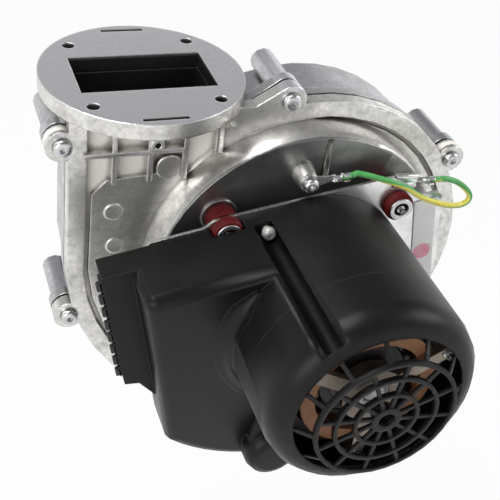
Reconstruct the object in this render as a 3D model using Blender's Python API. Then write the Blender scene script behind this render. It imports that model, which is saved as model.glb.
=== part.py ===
"""Premix gas blower with a 148 mm impeller, as an assembly of separate pieces.

Metres, +Z up. The origin is the centre of the outlet port, on the flange's top face.
The shaft runs along Y: the motor is on the -Y side and the gas inlet on the +Y side.
"""
import math

import bmesh
import bpy
from mathutils import Matrix, Vector

for leftover in list(bpy.data.objects):
    bpy.data.objects.remove(leftover, do_unlink=True)

# ---------------------------------------------------------------- driving dimensions

# Room left between two pieces that touch.
CLEARANCE = 0.0003
# How far a cutter runs past the face that it breaks through.
OVERCUT = 0.002
# Points closer than this are one point, and faces nearer to flat than this angle are one face.
WELD = 0.000004
FLAT_ANGLE = 0.001

# Outlet flange, cast in one with the front casing.
FLANGE_RADIUS = 0.0483
FLANGE_THICKNESS = 0.008
PORT_WIDTH = 0.064
PORT_DEPTH = 0.034
FLANGE_HOLE_SPACING = 0.0585
FLANGE_HOLE_RADIUS = 0.0031
FLANGE_SLOT_LENGTH = 0.0212
FLANGE_SLOT_WIDTH = 0.0022
FLANGE_SLOT_OFFSET = 0.0433

# Shaft and scroll. The scroll opens clockwise as seen from the motor.
SHAFT_X = 0.078
SHAFT_Z = -0.096
SCROLL_ANGLE = 126.0
SCROLL_RADIUS = 0.078
SCROLL_GROWTH = 0.0385
CASTING_WALL = 0.0035
RIM_WIDTH = 0.007
REAR_RIM_THICKNESS = 0.006
FRONT_RIM_THICKNESS = 0.007
GASKET_THICKNESS = 0.001
GASKET_WIDTH = 0.004

# Casing screws: pan heads on lugs around the rim, in long bosses of the rear casing.
CASING_LUG_RADIUS = 0.0078
CASING_LUG_OFFSET = 0.010
CASING_BOSS_RADIUS = 0.0062
CASING_BOSS_DEPTH = 0.034
CASING_SCREW_LENGTH = 0.022
SCREW_RADIUS = 0.002
SCREW_HEAD_RADIUS = 0.0044
SCREW_HEAD_HEIGHT = 0.0028
SCREW_SOCKET_RADIUS = 0.0016
SCREW_SOCKET_DEPTH = 0.0015
OUTLET_SCREW_HEIGHT = -0.022
RIM_SCREW_ANGLES = (97.5, 30.0, -36.0, -102.0, -167.0)

# Front of the front casing: pan, waffle ribs, ring rib and bosses.
PAN_HEIGHT = 0.002
PAN_GROOVE = 0.0025
RIM_INNER_WIDTH = 0.0015
RIB_THICKNESS = 0.0024
RIB_HEIGHT = 0.005
RIB_PITCH = 0.017
POCKET_BOTTOM = -0.043
DOME_FOOT_RADIUS = 0.080
DOME_TOP_RADIUS = 0.070
DOME_HEIGHT = 0.010
DOME_RIB_ANGLE = 84.0
DOME_RIB_LENGTH = 0.018
SHAFT_BOSS_RADIUS = 0.0135
SHAFT_BOSS_HEIGHT = 0.0045
SEAL_RADIUS = 0.009
SEAL_LENGTH = 0.0055

# Gas inlet on the back of the rear casing.
INLET_RADIUS = 0.033
NOZZLE_RADIUS = 0.0285
NOZZLE_WALL = 0.0020
NOZZLE_LENGTH = 0.0065
INLET_FACE_RADIUS = 0.049
INLET_COLLAR_LENGTH = 0.0135
INLET_HOLE_CIRCLE = 0.041
INLET_HOLE_RADIUS = 0.0021
INLET_HOLE_DEPTH = 0.010

# Impeller.
IMPELLER_RADIUS = 0.074
IMPELLER_EYE_RADIUS = 0.0315
IMPELLER_EYE_WIDTH = 0.026
IMPELLER_RIM_WIDTH = 0.019
IMPELLER_DISC = 0.0018
IMPELLER_FRONT_GAP = 0.008
SHROUD_THICKNESS = 0.0012
SHROUD_COLLAR = 0.004
VANE_COUNT = 9
VANE_THICKNESS = 0.0016
VANE_SWEEP = 52.0
HUB_RADIUS = 0.0085
HUB_LENGTH = 0.017
NUT_RADIUS = 0.0065
NUT_LENGTH = 0.0045
SHAFT_RADIUS = 0.004

# Motor plate and its rubber bushes.
PLATE_STANDOFF = 0.0145
PLATE_THICKNESS = 0.0016
MOTOR_TILT = 11.0
BUSH_CIRCLE = 0.0602
BUSH_ANGLES = (141.2, 45.0, 281.0)
BUSH_RADIUS = 0.0076
BUSH_FRONT_LENGTH = 0.0047
BUSH_NECK_RADIUS = 0.0053
BUSH_BOSS_RADIUS = 0.0092
BUSH_BOSS_HEIGHT = 0.0055
SLEEVE_RADIUS = 0.0042
SLEEVE_WALL = 0.0006
SLEEVE_FLOOR = 0.0015
SLEEVE_RIM_RADIUS = 0.0060
SLEEVE_RIM_THICKNESS = 0.0009
BUSH_SCREW_HEAD = 0.0031
BUSH_SCREW_LENGTH = 0.006

# Outline of the plate and of the electronics box, in the motor's tilted frame.
PLATE_TOP = 0.0522
PLATE_TOP_FALL = 0.0020
PLATE_TOP_STEP = 0.0030
PLATE_LEFT_END = -0.076
PLATE_RIGHT = 0.0755
PLATE_RIGHT_TOP = 0.034
PLATE_CORNER = 0.0025
TAB_START = 0.048
TAB_ANGLE = -15.0
TAB_GAP = 0.0017
BOX_TOP = 0.0485
BOX_REACH = 0.102
BLOCK_REACH = 0.088
BOX_LOW = 0.048
SHELF_LOW = 0.022
SPIGOT_RADIUS = 0.017
HOOD_SCREW_CIRCLE = 0.0485

# Motor.
MOTOR_FLANGE_RADIUS = 0.0423
MOTOR_FLANGE_THICKNESS = 0.003
BEARING_RADIUS = 0.011
BEARING_LENGTH = 0.007
BEARING_RING = 0.0024
BEARING_HOUSING_RADIUS = 0.0148
FRONT_BEARING_DISTANCE = 0.020
STATOR_DISTANCE = 0.034
STATOR_LENGTH = 0.038
STATOR_RADIUS = 0.0420
STATOR_YOKE = 0.0070
STATOR_BORE = 0.0218
TOOTH_COUNT = 6
TOOTH_WIDTH = 0.009
SHOE_WIDTH = 0.0175
SHOE_THICKNESS = 0.0025
COIL_THICKNESS = 0.0050
COIL_MARGIN = 0.0018
BEARING_SPRING = 0.0010
ROTOR_AIR_GAP = 0.0008
MAGNET_THICKNESS = 0.0045
BOLT_CIRCLE = 0.0385
BOLT_ANGLES = (30.0, 150.0, 270.0)
PILLAR_WIDTH = 0.0068
BRACKET_THICKNESS = 0.004
BRACKET_RISE = 0.0115
TERMINAL_RING_THICKNESS = 0.0022

# Hood: motor cap, electronics box and grille.
HOOD_WALL = 0.002
HOOD_RADIUS = 0.052
HOOD_LENGTH = 0.0992
HOOD_END_ROUND = 0.0095
HOOD_END_DEPTH = 0.013
GRILLE_RADIUS = 0.041
GRILLE_THICKNESS = 0.0025
GRILLE_BAR = 0.0019
GRILLE_RING_RADII = (0.0150, 0.0245, 0.0335)
GRILLE_HUB_RADIUS = 0.0072
GRILLE_HUB_HOLE = 0.0040
GRILLE_SPOKES = 12
GRILLE_TURN = -7.5
GRILLE_RISE = 0.008
GROOVE_RADIUS = 0.0043
GROOVE_WALL = 0.0014
HOOD_SCREW_SEAT = 0.005
HOOD_SCREW_HEAD = 0.0036
SHELF_DEPTH = 0.015
BLOCK_DEPTH = 0.0395
BLOCK_ROUND = 0.0055
BOX_SLOPE = 0.11
BOX_ARC_RADIUS = 0.1065
LOBE_RADIUS = 0.015
LOBE_ANGLE = -112.4
LOBE_DEPTH = 0.039
LOBE_ROUND = 0.006
HOOD_SCREW_ANGLES = (126.0, 306.0)
HOOD_POSTS = ((0.022, 0.034), (0.044, -0.052))
POST_RADIUS = 0.003

# Electronics.
BOARD_THICKNESS = 0.0016
BOARD_STANDOFF = 0.0052
BOARD_MARGIN = 0.0012
CAPACITOR_RADIUS = 0.009
CAPACITOR_LENGTH = 0.018
CAPACITOR_PLACES = ((-0.070, 0.020), (-0.070, -0.001))
CHOKE_PLACE = (-0.068, -0.028)
CHOKE_RADIUS = 0.011
CHOKE_HOLE = 0.0045
CHOKE_LENGTH = 0.012
CONTACT_PITCH = 0.0081
CONTACT_WIDTH = 0.0052
CONTACT_HEIGHT = 0.0043
CONTACT_DEPTH = 0.007
CONNECTOR_TOP = 0.0455
CONNECTOR_LENGTH = 0.011
TOOTH_REACH = 0.0012
TOOTH_GAP = 0.0016
CONNECTOR_HEIGHT = 0.0058
CONNECTOR_WAYS = (3, 5)

# Earth point and lead.
ROTOR_PIECES = ("motor_shaft", "impeller", "impeller_shroud", "impeller_hub", "impeller_nut",
                "front_bearing_inner_ring", "rear_bearing_inner_ring", "rotor_core", "rotor_magnet")
EARTH_X = 0.0715
EARTH_Z = -0.0375
EARTH_BOSS_HEIGHT = 0.0135
EARTH_BOSS_RADIUS = 0.0048
EARTH_BOSS_FOOT = 0.0062
EARTH_TAG_THICKNESS = 0.0008
EARTH_TAG_RADIUS = 0.0047
EARTH_LEAD_RADIUS = 0.0015
EARTH_TAG_ANGLE = 8.0
EARTH_LEAD_LOOP = ((0.013, -0.0035, -0.0008), (0.027, -0.006, -0.0055), (0.038, -0.0065, -0.0125),
                   (0.051, -0.006, -0.0185), (0.062, -0.004, -0.0220), (0.0685, -0.0025, -0.0215),
                   (0.0700, -0.0015, -0.0185), (0.067, -0.0006, -0.0145), (0.061, 0.0, -0.0102))
EARTH_TAG_REACH = 0.0125
EARTH_WASHER_THICKNESS = 0.0006
EARTH_SCREW_LENGTH = 0.009
CRIMP_RADIUS = 0.0021
CRIMP_LENGTH = 0.0085
RECEPTACLE_WALL = 0.0006
TAB_WIDTH = 0.0048
TAB_LENGTH = 0.014

# Label.
LABEL_LEFT = 0.0600
LABEL_RIGHT = 0.0720
LABEL_TOP = 0.031
LABEL_BOTTOM = -0.022
LABEL_THICKNESS = 0.0004

# ---------------------------------------------------------------- planes across the shaft

PARTING_Y = -PORT_DEPTH / 2
CHAMBER_BACK_Y = PORT_DEPTH / 2
REAR_FACE_Y = CHAMBER_BACK_Y + CASTING_WALL
INLET_FACE_Y = REAR_FACE_Y + INLET_COLLAR_LENGTH
FRONT_BACK_Y = PARTING_Y - GASKET_THICKNESS - 2 * CLEARANCE
POCKET_Y = FRONT_BACK_Y - CASTING_WALL
RIM_FACE_Y = FRONT_BACK_Y - FRONT_RIM_THICKNESS
PAN_Y = POCKET_Y - PAN_HEIGHT
DOME_Y = PAN_Y - DOME_HEIGHT
DOME_INSIDE_Y = DOME_Y + CASTING_WALL
BUSH_SEAT_Y = DOME_Y - BUSH_BOSS_HEIGHT
PLATE_BACK_Y = DOME_Y - PLATE_STANDOFF
PLATE_Y = PLATE_BACK_Y - PLATE_THICKNESS
HOOD_BASE_Y = PLATE_Y - CLEARANCE
HOOD_END_Y = HOOD_BASE_Y - HOOD_LENGTH
SHAFT_BOSS_Y = DOME_Y - SHAFT_BOSS_HEIGHT
DISC_Y = DOME_INSIDE_Y + IMPELLER_FRONT_GAP
MOTOR_FLANGE_Y = PLATE_Y - CLEARANCE
STATOR_BACK_Y = PLATE_Y - STATOR_DISTANCE
STATOR_FRONT_Y = STATOR_BACK_Y - STATOR_LENGTH
BRACKET_Y = STATOR_FRONT_Y - CLEARANCE - BRACKET_RISE
FRONT_BEARING_Y = PLATE_Y - FRONT_BEARING_DISTANCE
EARTH_FACE_Y = DOME_Y - EARTH_BOSS_HEIGHT
BOARD_BACK_Y = PLATE_Y - BOARD_STANDOFF


# ---------------------------------------------------------------- outlines in the XZ plane

def circle(x, z, radius, count=32):
    """Points round a circle."""
    angles = [2 * math.pi * i / count for i in range(count)]
    return [(x + radius * math.cos(a), z + radius * math.sin(a)) for a in angles]


def arc(x, z, radius, start, end, count=12):
    """Points on an arc from start to end, both in degrees."""
    angles = [math.radians(start + (end - start) * i / count) for i in range(count + 1)]
    return [(x + radius * math.cos(a), z + radius * math.sin(a)) for a in angles]


def at_shaft(radius, angle):
    """The point at a radius and an angle in degrees about the shaft."""
    a = math.radians(angle)
    return (SHAFT_X + radius * math.cos(a), SHAFT_Z + radius * math.sin(a))


def tilted(u, v):
    """A point of the motor's own frame, which is turned about the shaft."""
    a = math.radians(MOTOR_TILT)
    return (SHAFT_X + u * math.cos(a) - v * math.sin(a), SHAFT_Z + u * math.sin(a) + v * math.cos(a))


def scroll_radius(angle):
    """The scroll's inner radius, which grows as the angle falls."""
    return SCROLL_RADIUS + SCROLL_GROWTH * (SCROLL_ANGLE - angle) / 360


def scroll_start(offset):
    """The angle at which the offset scroll meets the outlet duct's right wall."""
    angle = SCROLL_ANGLE
    for _ in range(20):
        reach = (PORT_WIDTH / 2 + offset - SHAFT_X) / (scroll_radius(angle) + offset)
        angle = math.degrees(math.acos(reach))
    return angle


def scroll_outline(offset, top, steps=34):
    """The outlet duct and the scroll, grown by an offset and closed at the height top."""
    start = scroll_start(offset)
    points = [(PORT_WIDTH / 2 + offset, top)]
    for i in range(steps + 1):
        angle = start + (-180.0 - start) * i / steps
        points.append(at_shaft(scroll_radius(angle) + offset, angle))
    points.append((-PORT_WIDTH / 2 - offset, top))
    return points


def casing_screw_places():
    """Where the casing screws stand: one beside the outlet duct and the rest round the scroll."""
    places = [(-PORT_WIDTH / 2 - CASING_LUG_OFFSET, OUTLET_SCREW_HEIGHT)]
    for angle in RIM_SCREW_ANGLES:
        places.append(at_shaft(scroll_radius(angle) + CASING_LUG_OFFSET, angle))
    return places


# ---------------------------------------------------------------- solids

def new_object(name, bm):
    """Turn a bmesh into an object with its faces pointing out."""
    bmesh.ops.recalc_face_normals(bm, faces=bm.faces)
    mesh = bpy.data.meshes.new(name)
    bm.to_mesh(mesh)
    bm.free()
    item = bpy.data.objects.new(name, mesh)
    bpy.context.scene.collection.objects.link(item)
    return item


def along_y(point, depth):
    """Lift an outline's point to a depth along the shaft."""
    return Vector((point[0], depth, point[1]))


def along_z(point, height):
    """Lift an outline's point of the XY plane to a height."""
    return Vector((point[0], point[1], height))


def prism(name, loops, start, end, place=along_y):
    """An outline, with any further loops as holes, extruded from start to end."""
    bm = bmesh.new()
    edges = []
    for loop in loops:
        verts = [bm.verts.new(place(point, start)) for point in loop]
        edges += [bm.edges.new((verts[i - 1], verts[i])) for i in range(len(verts))]
    bmesh.ops.triangle_fill(bm, edges=edges, use_beauty=True)
    made = bmesh.ops.extrude_face_region(bm, geom=bm.faces[:], use_keep_orig=True)
    moved = [item for item in made["geom"] if isinstance(item, bmesh.types.BMVert)]
    bmesh.ops.translate(bm, verts=moved, vec=place((0.0, 0.0), end - start))
    return new_object(name, bm)


def lathe(name, profile, centre, count=40):
    """A profile of (radius, y) points turned about an axis along Y."""
    bm = bmesh.new()
    verts = [bm.verts.new((centre[0] + radius, y, centre[1])) for radius, y in profile]
    edges = [bm.edges.new((verts[i], verts[i + 1])) for i in range(len(verts) - 1)]
    if profile[0][0] > 0:
        edges.append(bm.edges.new((verts[-1], verts[0])))
    bmesh.ops.spin(bm, geom=verts + edges, cent=(centre[0], 0, centre[1]), axis=(0, 1, 0),
                   angle=2 * math.pi, steps=count, use_merge=True)
    bmesh.ops.remove_doubles(bm, verts=bm.verts, dist=1e-6)
    return new_object(name, bm)


def boolean(target, tools, operation):
    """Apply one Boolean with each tool in turn, and remove the tools.

    Cast ribs, lugs and bosses share many planes, where the exact solver leaves open edges,
    so the manifold solver is used.
    """
    for tool in tools:
        modifier = target.modifiers.new(operation, "BOOLEAN")
        modifier.operation = operation
        modifier.solver = "MANIFOLD"
        modifier.object = tool
        bpy.context.view_layer.update()
        graph = bpy.context.evaluated_depsgraph_get()
        result = bpy.data.meshes.new_from_object(target.evaluated_get(graph))
        target.modifiers.clear()
        target.data = result
        bpy.data.objects.remove(tool, do_unlink=True)
    return target


def cut(target, *tools):
    """Take the tools away from the target."""
    return boolean(target, tools, "DIFFERENCE")


def join(target, *tools):
    """Add the tools to the target."""
    return boolean(target, tools, "UNION")


def merge_flats(item):
    """Weld the points that Booleans leave side by side, and merge the triangles of flat faces."""
    bm = bmesh.new()
    bm.from_mesh(item.data)
    bmesh.ops.remove_doubles(bm, verts=bm.verts, dist=WELD)
    bmesh.ops.dissolve_degenerate(bm, edges=bm.edges, dist=WELD)
    bmesh.ops.delete(bm, geom=[edge for edge in bm.edges if not edge.link_faces], context="EDGES")
    bmesh.ops.dissolve_limit(bm, angle_limit=FLAT_ANGLE, verts=bm.verts, edges=bm.edges)
    bmesh.ops.triangulate(bm, faces=bm.faces)
    bm.to_mesh(item.data)
    bm.free()
    return item


def rod(centre, radius, start, end, count=24):
    """A round bar along Y."""
    return lathe("rod", [(0, start), (radius, start), (radius, end), (0, end)], centre, count)


def finish(item, name, colour, roughness, metallic=0.0, crease=32.0):
    """Name a piece, shade it and give it its own material."""
    item.name = name
    item.data.name = name
    item.data.shade_smooth()
    item.data.set_sharp_from_angle(angle=math.radians(crease))
    material = bpy.data.materials.new(name)
    material.use_nodes = True
    shader = material.node_tree.nodes["Principled BSDF"]
    shader.inputs["Base Color"].default_value = (*colour, 1.0)
    shader.inputs["Roughness"].default_value = roughness
    shader.inputs["Metallic"].default_value = metallic
    item.data.materials.clear()
    item.data.materials.append(material)
    return item


CAST = ((0.62, 0.61, 0.58), 0.45, 0.9)
ZINC = ((0.78, 0.79, 0.80), 0.28, 1.0)
STEEL = ((0.55, 0.55, 0.56), 0.35, 1.0)
BLACK = ((0.02, 0.02, 0.022), 0.5, 0.0)
RED_RUBBER = ((0.17, 0.018, 0.018), 0.6, 0.0)
BRASS = ((0.72, 0.55, 0.25), 0.3, 1.0)
COPPER = ((0.60, 0.27, 0.13), 0.35, 0.9)


def screw(centre, seat, length, head_radius, head_height=SCREW_HEAD_HEIGHT):
    """A pan-head screw whose head rests on the plane y = seat and whose shank points to +Y."""
    top = seat - head_height
    floor = top + SCREW_SOCKET_DEPTH
    profile = [(0, floor), (SCREW_SOCKET_RADIUS, floor), (SCREW_SOCKET_RADIUS, top),
               (head_radius * 0.8, top), (head_radius, top + head_height * 0.45),
               (head_radius, seat), (SCREW_RADIUS, seat), (SCREW_RADIUS, seat + length),
               (0, seat + length)]
    return lathe("screw", profile, centre, 8)


# ---------------------------------------------------------------- casing

SCREW_HOLE_RADIUS = SCREW_RADIUS + CLEARANCE
NECK_TOP = -FLANGE_THICKNESS - CLEARANCE
# How far two solids reach into each other where they are joined into one piece.
SINK = 0.0005


def corner_web(top):
    """The flat corner between the outlet duct, the flange and the next casing screw."""
    screw_x, screw_z = casing_screw_places()[1]
    edge = PORT_WIDTH / 2 + RIM_WIDTH
    return [(edge - RIM_WIDTH, top), (FLANGE_RADIUS + 2 * CLEARANCE, top),
            (screw_x - CASING_LUG_RADIUS * 0.55, screw_z + CASING_LUG_RADIUS * 0.8),
            (screw_x, screw_z - CASING_LUG_RADIUS * 0.5),
            (edge - RIM_WIDTH, SHAFT_Z + SCROLL_RADIUS * math.sin(math.radians(SCROLL_ANGLE)))]


def make_rear_casing():
    """The scroll cup with its outlet neck, long screw bosses and inlet collar."""
    shaft = (SHAFT_X, SHAFT_Z)
    casing = prism("rear_casing", [scroll_outline(CASTING_WALL, NECK_TOP)], PARTING_Y, REAR_FACE_Y)
    rim_back = PARTING_Y + REAR_RIM_THICKNESS
    join(casing, prism("rim", [scroll_outline(RIM_WIDTH, NECK_TOP)], PARTING_Y, rim_back))
    join(casing, prism("web", [corner_web(NECK_TOP)], PARTING_Y, rim_back))
    for place in casing_screw_places():
        join(casing, rod(place, CASING_LUG_RADIUS, PARTING_Y, rim_back, 16))
        join(casing, rod(place, CASING_BOSS_RADIUS, rim_back - SINK, PARTING_Y + CASING_BOSS_DEPTH, 12))
    join(casing, rod(shaft, INLET_FACE_RADIUS, REAR_FACE_Y - SINK, INLET_FACE_Y, 48))
    chamber = prism("chamber", [scroll_outline(0.0, NECK_TOP + OVERCUT)],
                    PARTING_Y - OVERCUT, CHAMBER_BACK_Y)
    cut(casing, chamber)
    nozzle_tip = CHAMBER_BACK_Y - NOZZLE_LENGTH
    join(casing, rod(shaft, NOZZLE_RADIUS + NOZZLE_WALL, nozzle_tip, CHAMBER_BACK_Y + SINK, 48))
    throat = [(0, nozzle_tip - OVERCUT), (NOZZLE_RADIUS, nozzle_tip - OVERCUT),
              (NOZZLE_RADIUS, CHAMBER_BACK_Y), (INLET_RADIUS, REAR_FACE_Y + NOZZLE_WALL),
              (INLET_RADIUS, INLET_FACE_Y + OVERCUT), (0, INLET_FACE_Y + OVERCUT)]
    cut(casing, lathe("throat", throat, shaft, 48))
    for i in range(4):
        place = at_shaft(INLET_HOLE_CIRCLE, 45 + 90 * i)
        cut(casing, rod(place, INLET_HOLE_RADIUS, INLET_FACE_Y - INLET_HOLE_DEPTH,
                        INLET_FACE_Y + OVERCUT, 10))
    for place in casing_screw_places():
        depth = CASING_SCREW_LENGTH
        cut(casing, rod(place, SCREW_HOLE_RADIUS, PARTING_Y - OVERCUT, PARTING_Y + depth, 10))
    return finish(merge_flats(casing), "rear_casing", *CAST)


def pan_outline():
    """The raised pan of the front casing, with its half-round pad under the outlet."""
    offset = -RIM_INNER_WIDTH - PAN_GROOVE
    reach = DOME_FOOT_RADIUS + SINK
    left = -PORT_WIDTH / 2 - offset
    points = []
    start = scroll_start(RIM_WIDTH)
    for i in range(31):
        angle = start + (-180.0 - start) * i / 30
        points.append(at_shaft(scroll_radius(angle) + offset, angle))
    points += [(left, POCKET_BOTTOM - 2 * CASTING_WALL), (left + 2 * CASTING_WALL, POCKET_BOTTOM)]
    pad_x = RIB_PITCH * 0.55
    points += arc(pad_x, POCKET_BOTTOM + CASTING_WALL / 2, 2 * CASTING_WALL, 180, 0, 10)
    drop = POCKET_BOTTOM - SHAFT_Z
    end = 180 - math.degrees(math.asin(drop / reach))
    points += arc(SHAFT_X, SHAFT_Z, reach, end, start + 1, 10)
    return points


def dome_profile(radius, top_radius, start, end, back):
    """A flat-topped dome about the shaft, from the plane back to its flat top at end."""
    profile = [(0, back), (radius, back)]
    for i in range(5):
        a = math.radians(22.5 * i)
        profile.append((top_radius + (radius - top_radius) * math.cos(a),
                        start + (end - start) * math.sin(a)))
    profile.append((0, end))
    return profile


def box(left, right, bottom, top, start, end):
    """A block between two heights, two sides and two depths."""
    corners = [(left, bottom), (right, bottom), (right, top), (left, top)]
    return prism("block", [corners], start, end)


def flange_loops():
    """The outlet flange seen from above: its edge, its port, its four holes and its two slots."""
    width, depth = PORT_WIDTH / 2, PORT_DEPTH / 2
    loops = [circle(0, 0, FLANGE_RADIUS, 56)]
    loops.append([(-width, -depth), (width, -depth), (width, depth), (-width, depth)])
    half = FLANGE_HOLE_SPACING / 2
    for x, y in ((-half, -half), (half, -half), (half, half), (-half, half)):
        loops.append(circle(x, y, FLANGE_HOLE_RADIUS, 12))
    for side in (-1, 1):
        low = side * FLANGE_SLOT_OFFSET - FLANGE_SLOT_WIDTH / 2
        high = low + FLANGE_SLOT_WIDTH
        reach = FLANGE_SLOT_LENGTH / 2
        loops.append([(-reach, low), (reach, low), (reach, high), (-reach, high)])
    return loops


def along_x(point, across):
    """Lift an outline's point of the YZ plane to a place across the part."""
    return Vector((across, point[0], point[1]))


def add_waffle(casing):
    """The ribs, gussets and small hollow boss in the pocket under the outlet flange."""
    into = -FLANGE_THICKNESS + SINK
    rib_y = POCKET_Y - RIB_HEIGHT
    half = RIB_THICKNESS / 2
    for i in range(4):
        x = RIB_PITCH * (i - 1) - half
        inside = max(DOME_FOOT_RADIUS ** 2 - (x - SHAFT_X) ** 2, 0.0)
        foot = max(SHAFT_Z + math.sqrt(inside), POCKET_BOTTOM) - SINK
        join(casing, box(x - half, x + half, foot, into, POCKET_Y + SINK, rib_y))
        gusset = [(POCKET_Y + SINK, into), (-FLANGE_RADIUS * 0.86, into), (rib_y, 2.2 * into)]
        gusset.append((POCKET_Y + SINK, 2.2 * into))
        join(casing, prism("gusset", [gusset], x - half, x + half, along_x))
    middle = -CASING_LUG_OFFSET + (POCKET_BOTTOM - NECK_TOP) / 2
    left = -PORT_WIDTH / 2 - SINK
    join(casing, box(left, RIB_PITCH, middle - half, middle + half, POCKET_Y + SINK, rib_y))
    place = (0.0018, middle + 2 * RIB_THICKNESS / 2 + half)
    join(casing, rod(place, RIB_THICKNESS * 1.4, POCKET_Y + SINK, rib_y - SINK, 16))
    cut(casing, rod(place, RIB_THICKNESS * 0.65, POCKET_Y - SINK, rib_y - OVERCUT, 12))


def make_front_casing():
    """The lid with the outlet flange, the waffle pocket, the pan and the dome over the impeller."""
    shaft = (SHAFT_X, SHAFT_Z)
    into = -FLANGE_THICKNESS + SINK
    casing = prism("front_casing", [scroll_outline(RIM_WIDTH, into)], FRONT_BACK_Y, POCKET_Y)
    join(casing, prism("flange", flange_loops(), -FLANGE_THICKNESS, 0.0, along_z))
    rim = [scroll_outline(RIM_WIDTH, into), scroll_outline(-RIM_INNER_WIDTH, -FLANGE_THICKNESS - SINK)]
    join(casing, prism("rim", rim, POCKET_Y + SINK, RIM_FACE_Y))
    join(casing, prism("web", [corner_web(into)], FRONT_BACK_Y, RIM_FACE_Y))
    for place in casing_screw_places():
        join(casing, rod(place, CASING_LUG_RADIUS, FRONT_BACK_Y, RIM_FACE_Y, 16))
    join(casing, prism("pan", [pan_outline()], POCKET_Y + SINK, PAN_Y))
    outside = dome_profile(DOME_FOOT_RADIUS, DOME_TOP_RADIUS, PAN_Y, DOME_Y, POCKET_Y + SINK)
    join(casing, lathe("dome", outside, shaft, 44))
    add_waffle(casing)
    for angle in BUSH_ANGLES:
        place = at_shaft(BUSH_CIRCLE, angle)
        join(casing, rod(place, BUSH_BOSS_RADIUS, DOME_Y + SINK, BUSH_SEAT_Y, 20))
    join(casing, rod(shaft, SHAFT_BOSS_RADIUS, DOME_Y + SINK, SHAFT_BOSS_Y, 24))
    rib_end = at_shaft(DOME_TOP_RADIUS - DOME_RIB_LENGTH, DOME_RIB_ANGLE)
    rib = box(rib_end[0] - RIB_THICKNESS / 2, rib_end[0] + RIB_THICKNESS / 2, rib_end[1],
              rib_end[1] + DOME_RIB_LENGTH, DOME_Y + SINK, DOME_Y - RIB_THICKNESS)
    join(casing, rib)
    earth = [(0, DOME_Y + SINK), (EARTH_BOSS_FOOT, DOME_Y + SINK),
             (EARTH_BOSS_RADIUS, EARTH_FACE_Y), (0, EARTH_FACE_Y)]
    join(casing, lathe("earth", earth, (EARTH_X, EARTH_Z), 16))
    inner_foot = DOME_FOOT_RADIUS - CASTING_WALL
    inner_top = DOME_TOP_RADIUS - CASTING_WALL
    inside = dome_profile(inner_foot, inner_top, DOME_INSIDE_Y + DOME_HEIGHT, DOME_INSIDE_Y,
                          FRONT_BACK_Y + OVERCUT)
    cut(casing, lathe("hollow", inside, shaft, 44))
    cut(casing, rod(shaft, SHAFT_RADIUS + 2 * CLEARANCE + SINK, DOME_INSIDE_Y + OVERCUT,
                    SHAFT_BOSS_Y - OVERCUT, 20))
    cut(casing, rod(shaft, SEAL_RADIUS + CLEARANCE, SHAFT_BOSS_Y + SEAL_LENGTH + CLEARANCE,
                    SHAFT_BOSS_Y - OVERCUT, 20))
    for place in casing_screw_places():
        cut(casing, rod(place, SCREW_HOLE_RADIUS, FRONT_BACK_Y + OVERCUT, RIM_FACE_Y - OVERCUT, 10))
    for angle in BUSH_ANGLES:
        place = at_shaft(BUSH_CIRCLE, angle)
        depth = BUSH_SCREW_LENGTH - SLEEVE_FLOOR
        cut(casing, rod(place, SCREW_HOLE_RADIUS, BUSH_SEAT_Y + depth, BUSH_SEAT_Y - OVERCUT, 10))
    cut(casing, rod((EARTH_X, EARTH_Z), SCREW_HOLE_RADIUS, EARTH_FACE_Y + 0.009,
                    EARTH_FACE_Y - OVERCUT, 10))
    return finish(merge_flats(casing), "front_casing", *CAST)


def make_gasket():
    """The flat gasket between the two halves."""
    inner, outer = 2 * CLEARANCE, 2 * CLEARANCE + GASKET_WIDTH
    top = NECK_TOP - CLEARANCE
    loops = [scroll_outline(outer, top), scroll_outline(inner, top - GASKET_WIDTH / 2)]
    gasket = prism("casing_gasket", loops, PARTING_Y - CLEARANCE,
                   PARTING_Y - CLEARANCE - GASKET_THICKNESS)
    return finish(gasket, "casing_gasket", (0.09, 0.09, 0.09), 0.8)


def make_casing_screws():
    """The pan-head screws round the rim."""
    seat = RIM_FACE_Y - CLEARANCE
    for i, place in enumerate(casing_screw_places()):
        length = CASING_SCREW_LENGTH
        item = screw(place, seat, length, SCREW_HEAD_RADIUS)
        finish(item, f"casing_screw_{i + 1}", *ZINC)


make_rear_casing()
make_front_casing()
make_gasket()
make_casing_screws()


# ---------------------------------------------------------------- impeller and shaft

SHAFT = (SHAFT_X, SHAFT_Z)
SHAFT_END_Y = DISC_Y + IMPELLER_DISC + HUB_LENGTH + NUT_LENGTH
SHROUD_Y = DISC_Y + IMPELLER_DISC


def shroud_y(radius):
    """Where the vanes end, towards the inlet, at a radius."""
    share = (IMPELLER_RADIUS - radius) / (IMPELLER_RADIUS - IMPELLER_EYE_RADIUS)
    width = IMPELLER_RIM_WIDTH + (IMPELLER_EYE_WIDTH - IMPELLER_RIM_WIDTH) * min(share, 1.0)
    return SHROUD_Y + width


def make_vane(index):
    """One backward-curved vane, from the eye to the rim."""
    bm = bmesh.new()
    stations = 5
    first = IMPELLER_EYE_RADIUS * 0.82
    last = IMPELLER_RADIUS - SINK
    sections = []
    for i in range(stations):
        share = i / (stations - 1)
        radius = first + (last - first) * share
        angle = math.radians(360.0 / VANE_COUNT * index - VANE_SWEEP * share)
        half = VANE_THICKNESS / 2 / radius
        corners = []
        for side, y in ((-half, SHROUD_Y - SINK), (half, SHROUD_Y - SINK),
                        (half, shroud_y(radius)), (-half, shroud_y(radius))):
            x = SHAFT_X + radius * math.cos(angle + side)
            z = SHAFT_Z + radius * math.sin(angle + side)
            corners.append(bm.verts.new((x, y, z)))
        sections.append(corners)
    for near, far in zip(sections, sections[1:]):
        for k in range(4):
            bm.faces.new((near[k - 1], near[k], far[k], far[k - 1]))
    bm.faces.new(sections[0])
    bm.faces.new(sections[-1])
    return new_object("vane", bm)


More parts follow.
